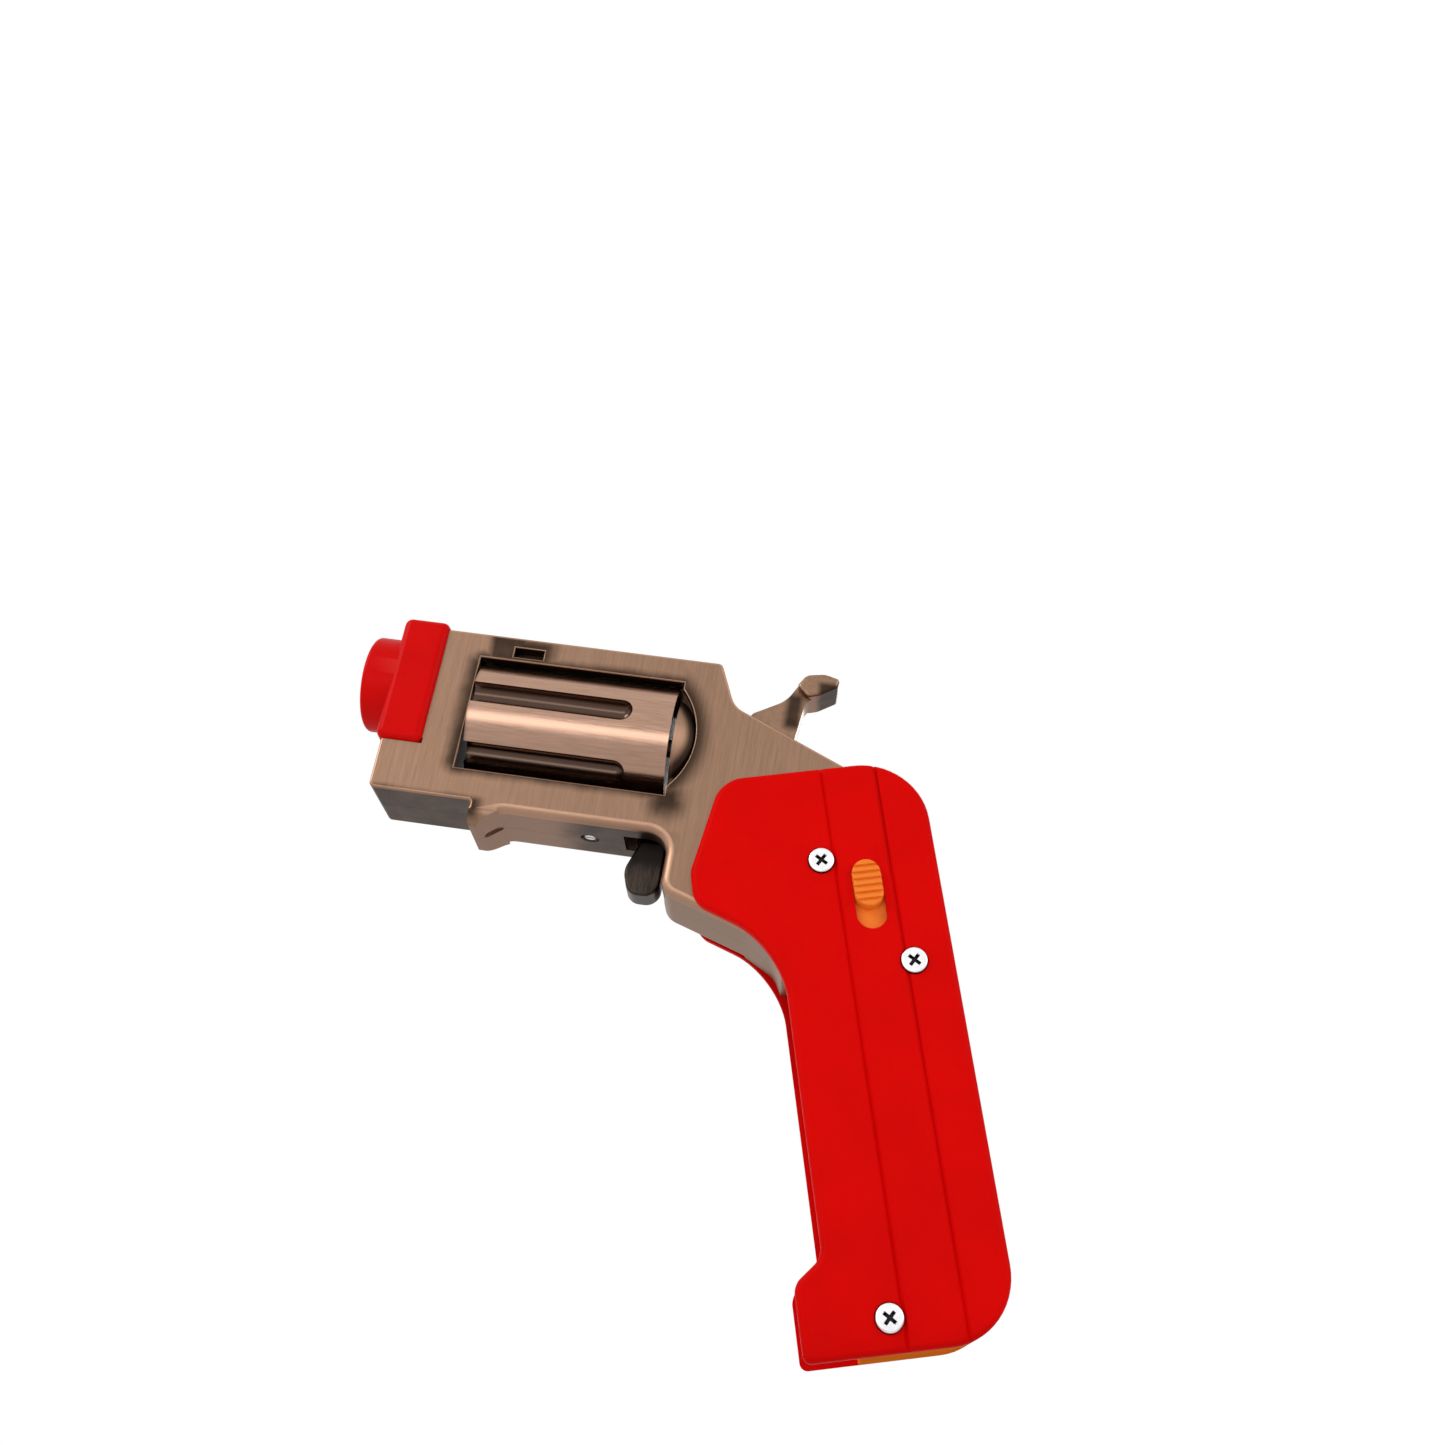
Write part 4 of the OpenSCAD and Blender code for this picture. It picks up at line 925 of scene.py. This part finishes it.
half_left = softened_half("frame_half_left", -1)
half_right = softened_half("frame_half_right", 1)
finish_piece(half_left, "barrel", "copper", frame_copper, "frame_half_left")
finish_piece(half_right, "barrel", "copper", frame_copper, "frame_half_right")

# %% [markdown]
# ## Cylinder
# A round bar with long flutes that are open at the front. A capsule makes each flute: a
# sphere whose front half is drawn out forwards.

# %% Cylinder
DRUM_REAR, DRUM_FRONT, DRUM_R = 23.6, 56.4, 10.0
FLUTES, FLUTE_R, FLUTE_END, FLUTE_PHASE = 6, 1.95, 32.0, 8


def flute_tool(angle):
    """A capsule for the flute that lies this far round the cylinder."""
    bm = bmesh.new()
    bmesh.ops.create_uvsphere(bm, u_segments=32, v_segments=16, radius=FLUTE_R * MM)
    bmesh.ops.rotate(bm, verts=bm.verts, matrix=Matrix.Rotation(math.radians(90), 3, "Y"))
    front = [vert for vert in bm.verts if vert.co.x < -1e-7]
    bmesh.ops.translate(bm, verts=front, vec=(-(DRUM_FRONT + 3 - FLUTE_END) * MM, 0, 0))
    out = DRUM_R - 0.4
    bmesh.ops.translate(bm, verts=bm.verts, vec=(
        -FLUTE_END * MM, -out * math.cos(angle) * MM, (drum_w + out * math.sin(angle)) * MM))
    return bm


drum = as_object("cylinder_fluted", rod(
    DRUM_R, DRUM_FRONT - DRUM_REAR, (-DRUM_REAR, 0, drum_w), (-1, 0, 0), 120))
shape_with(drum, "DIFFERENCE", rod(1.55, 40, (-20, 0, drum_w), (-1, 0, 0)),
           *[flute_tool(math.radians(FLUTE_PHASE + 360 * i / FLUTES)) for i in range(FLUTES)])
drum.data.transform(BARREL)
finish_piece(drum, "cylinder", "cylinder_copper", drum_copper, "cylinder", soften=0.28, segments=3, angle=40)

# %% [markdown]
# ## Hammer and trigger
# Both are flat castings with a wider part where a finger rests: the spur of the hammer, and
# the body of the trigger.

# %% Hammer
neck = barrel_plate([
    (12.1, 13.5, 1.6), (12.1, 22.9, 1), (11.8, 25.5, 1.2), (6.4, 28.7, 5), (4.3, 32.6, 0.8),
    (1.4, 33.2, 0.5), (1.4, 30.4, 0.3), (3.3, 28.6, 2.5), (4.2, 22, 4), (5.7, 15.3, 2),
    (6.6, 12.5, 1.2), (10.6, 12.5, 1.2)], -2.1, 2.1)
spur = barrel_plate([(5, 31.2, 0.7), (3.7, 33.4, 1.6), (0.6, 34, 3), (-2, 33.3, 0.72), (-1.7, 31.8, 0.6),
                     (1.2, 29.9, 2.4), (3.1, 29.3, 1.1)], -3.5, 3.5)
for y in (-3.5, 3.5):
    round_rim(spur, y, 0.6, segments=4)
hammer = as_object("hammer_cast", neck)
shape_with(hammer, "UNION", spur)
shape_with(hammer, "DIFFERENCE", rod(1.05, 8, (-hammer_u, -4, hammer_w), (0, 1, 0)),
           rod(2.2, 3, (-hammer_u, 0.6, hammer_w), (0, 1, 0)))
hammer.data.transform(BARREL)
finish_piece(hammer, "hammer", "copper", hammer_copper, "hammer", soften=0.3, segments=3)

# %% Trigger
blade = barrel_plate([(21.6, 0.9, 0.6), (25.9, 0.9, 0.8), (27.8, -4.4, 3), (26.6, -8.2, 2),
                      (21.8, -8.2, 2.4)], -2.6, 2.6)
for y in (-2.6, 2.6):
    round_rim(blade, y, 0.5, segments=4)
tang = barrel_plate([(22.2, 2.3, 0.4), (23.9, 5.1, 0.4), (26.9, 4.7, 0.4), (26.5, 0.1, 0.4),
                     (22, 0.1, 0.4)], -1.3, 1.3)
trigger = as_object("trigger_cast", blade)
shape_with(trigger, "UNION", tang)
shape_with(trigger, "UNION", rod(1.75, 2.6, (-trigger_u, -1.3, trigger_w), (0, 1, 0)))
shape_with(trigger, "DIFFERENCE", rod(0.85, 8, (-trigger_u, -4, trigger_w), (0, 1, 0)))
trigger.data.transform(BARREL)
finish_piece(trigger, "trigger", "copper", trigger_copper, "trigger")

# %% [markdown]
# ## Muzzle cap
# A red moulding that sits over the front of the frame, with a round nozzle and a stepped rim
# round the flame opening.

# %% Muzzle cap
CAP_REAR, CAP_FRONT, CAP_LOW, CAP_TOP, CAP_Y, CAP_ROUND = 63.1, 70.8, 10.5, 32.5, 8.1, 1.3
NOZZLE_W, NOZZLE_FRONT, NOZZLE_R, FLAME_R = 23, 75.6, 8, 4
block = brick((-CAP_FRONT, -CAP_Y, CAP_LOW), (-CAP_REAR, CAP_Y, CAP_TOP))
bmesh.ops.bevel(block, geom=block.edges[:], offset=CAP_ROUND * MM, offset_type="OFFSET", segments=6,
                profile=0.5, affect="EDGES", material=-1)
cap = as_object("muzzle_cap_moulded", block)
nozzle = rod(NOZZLE_R, NOZZLE_FRONT - CAP_FRONT + 2, (-CAP_FRONT + 2, 0, NOZZLE_W), (-1, 0, 0), 96)
front_edges = [edge for edge in nozzle.edges
               if all(vert.co.x / MM < -NOZZLE_FRONT + 0.01 for vert in edge.verts)]
bmesh.ops.bevel(nozzle, geom=front_edges, offset=0.7 * MM, offset_type="OFFSET", segments=4, profile=0.5,
                affect="EDGES", material=-1)
shape_with(cap, "UNION", nozzle)
shape_with(cap, "DIFFERENCE", brick((-CAP_FRONT + 0.75, -7.25, 11.4), (-60, 7.25, 31.55)))
shape_with(cap, "DIFFERENCE", rod(FLAME_R, 20, (-60, 0, NOZZLE_W), (-1, 0, 0), 72))
shape_with(cap, "DIFFERENCE", rod(5.8, 4, (-NOZZLE_FRONT + 0.9, 0, NOZZLE_W), (-1, 0, 0), 72))
cap.data.transform(BARREL)
finish_piece(cap, "barrel", "cap_red", cap_red, "muzzle_cap", soften=0.15)


# %% [markdown]
# ## Parts that only need their edges softened
# The base of the tank, the flame wheel and the frame screws already have the right shape.
# Each gets a merged copy with a fine bevel, so that its edges catch the light.


# %% Softened copies
def softened_copy(node, body, slot, material, width):
    """Shows a measured node as a merged copy whose sharp edges are rounded by the width."""
    finish_piece(as_object(node + "_softened", merged(node)), body, slot, material, node, soften=width)


softened_copy("tank_base", "grip", "tank_orange", base_orange, 0.1)
softened_copy("flame_wheel", "flame_wheel", "black_plastic", black_plastic, 0.06)
softened_copy("frame_screws", "barrel", "black_screw", black_steel, 0.08)
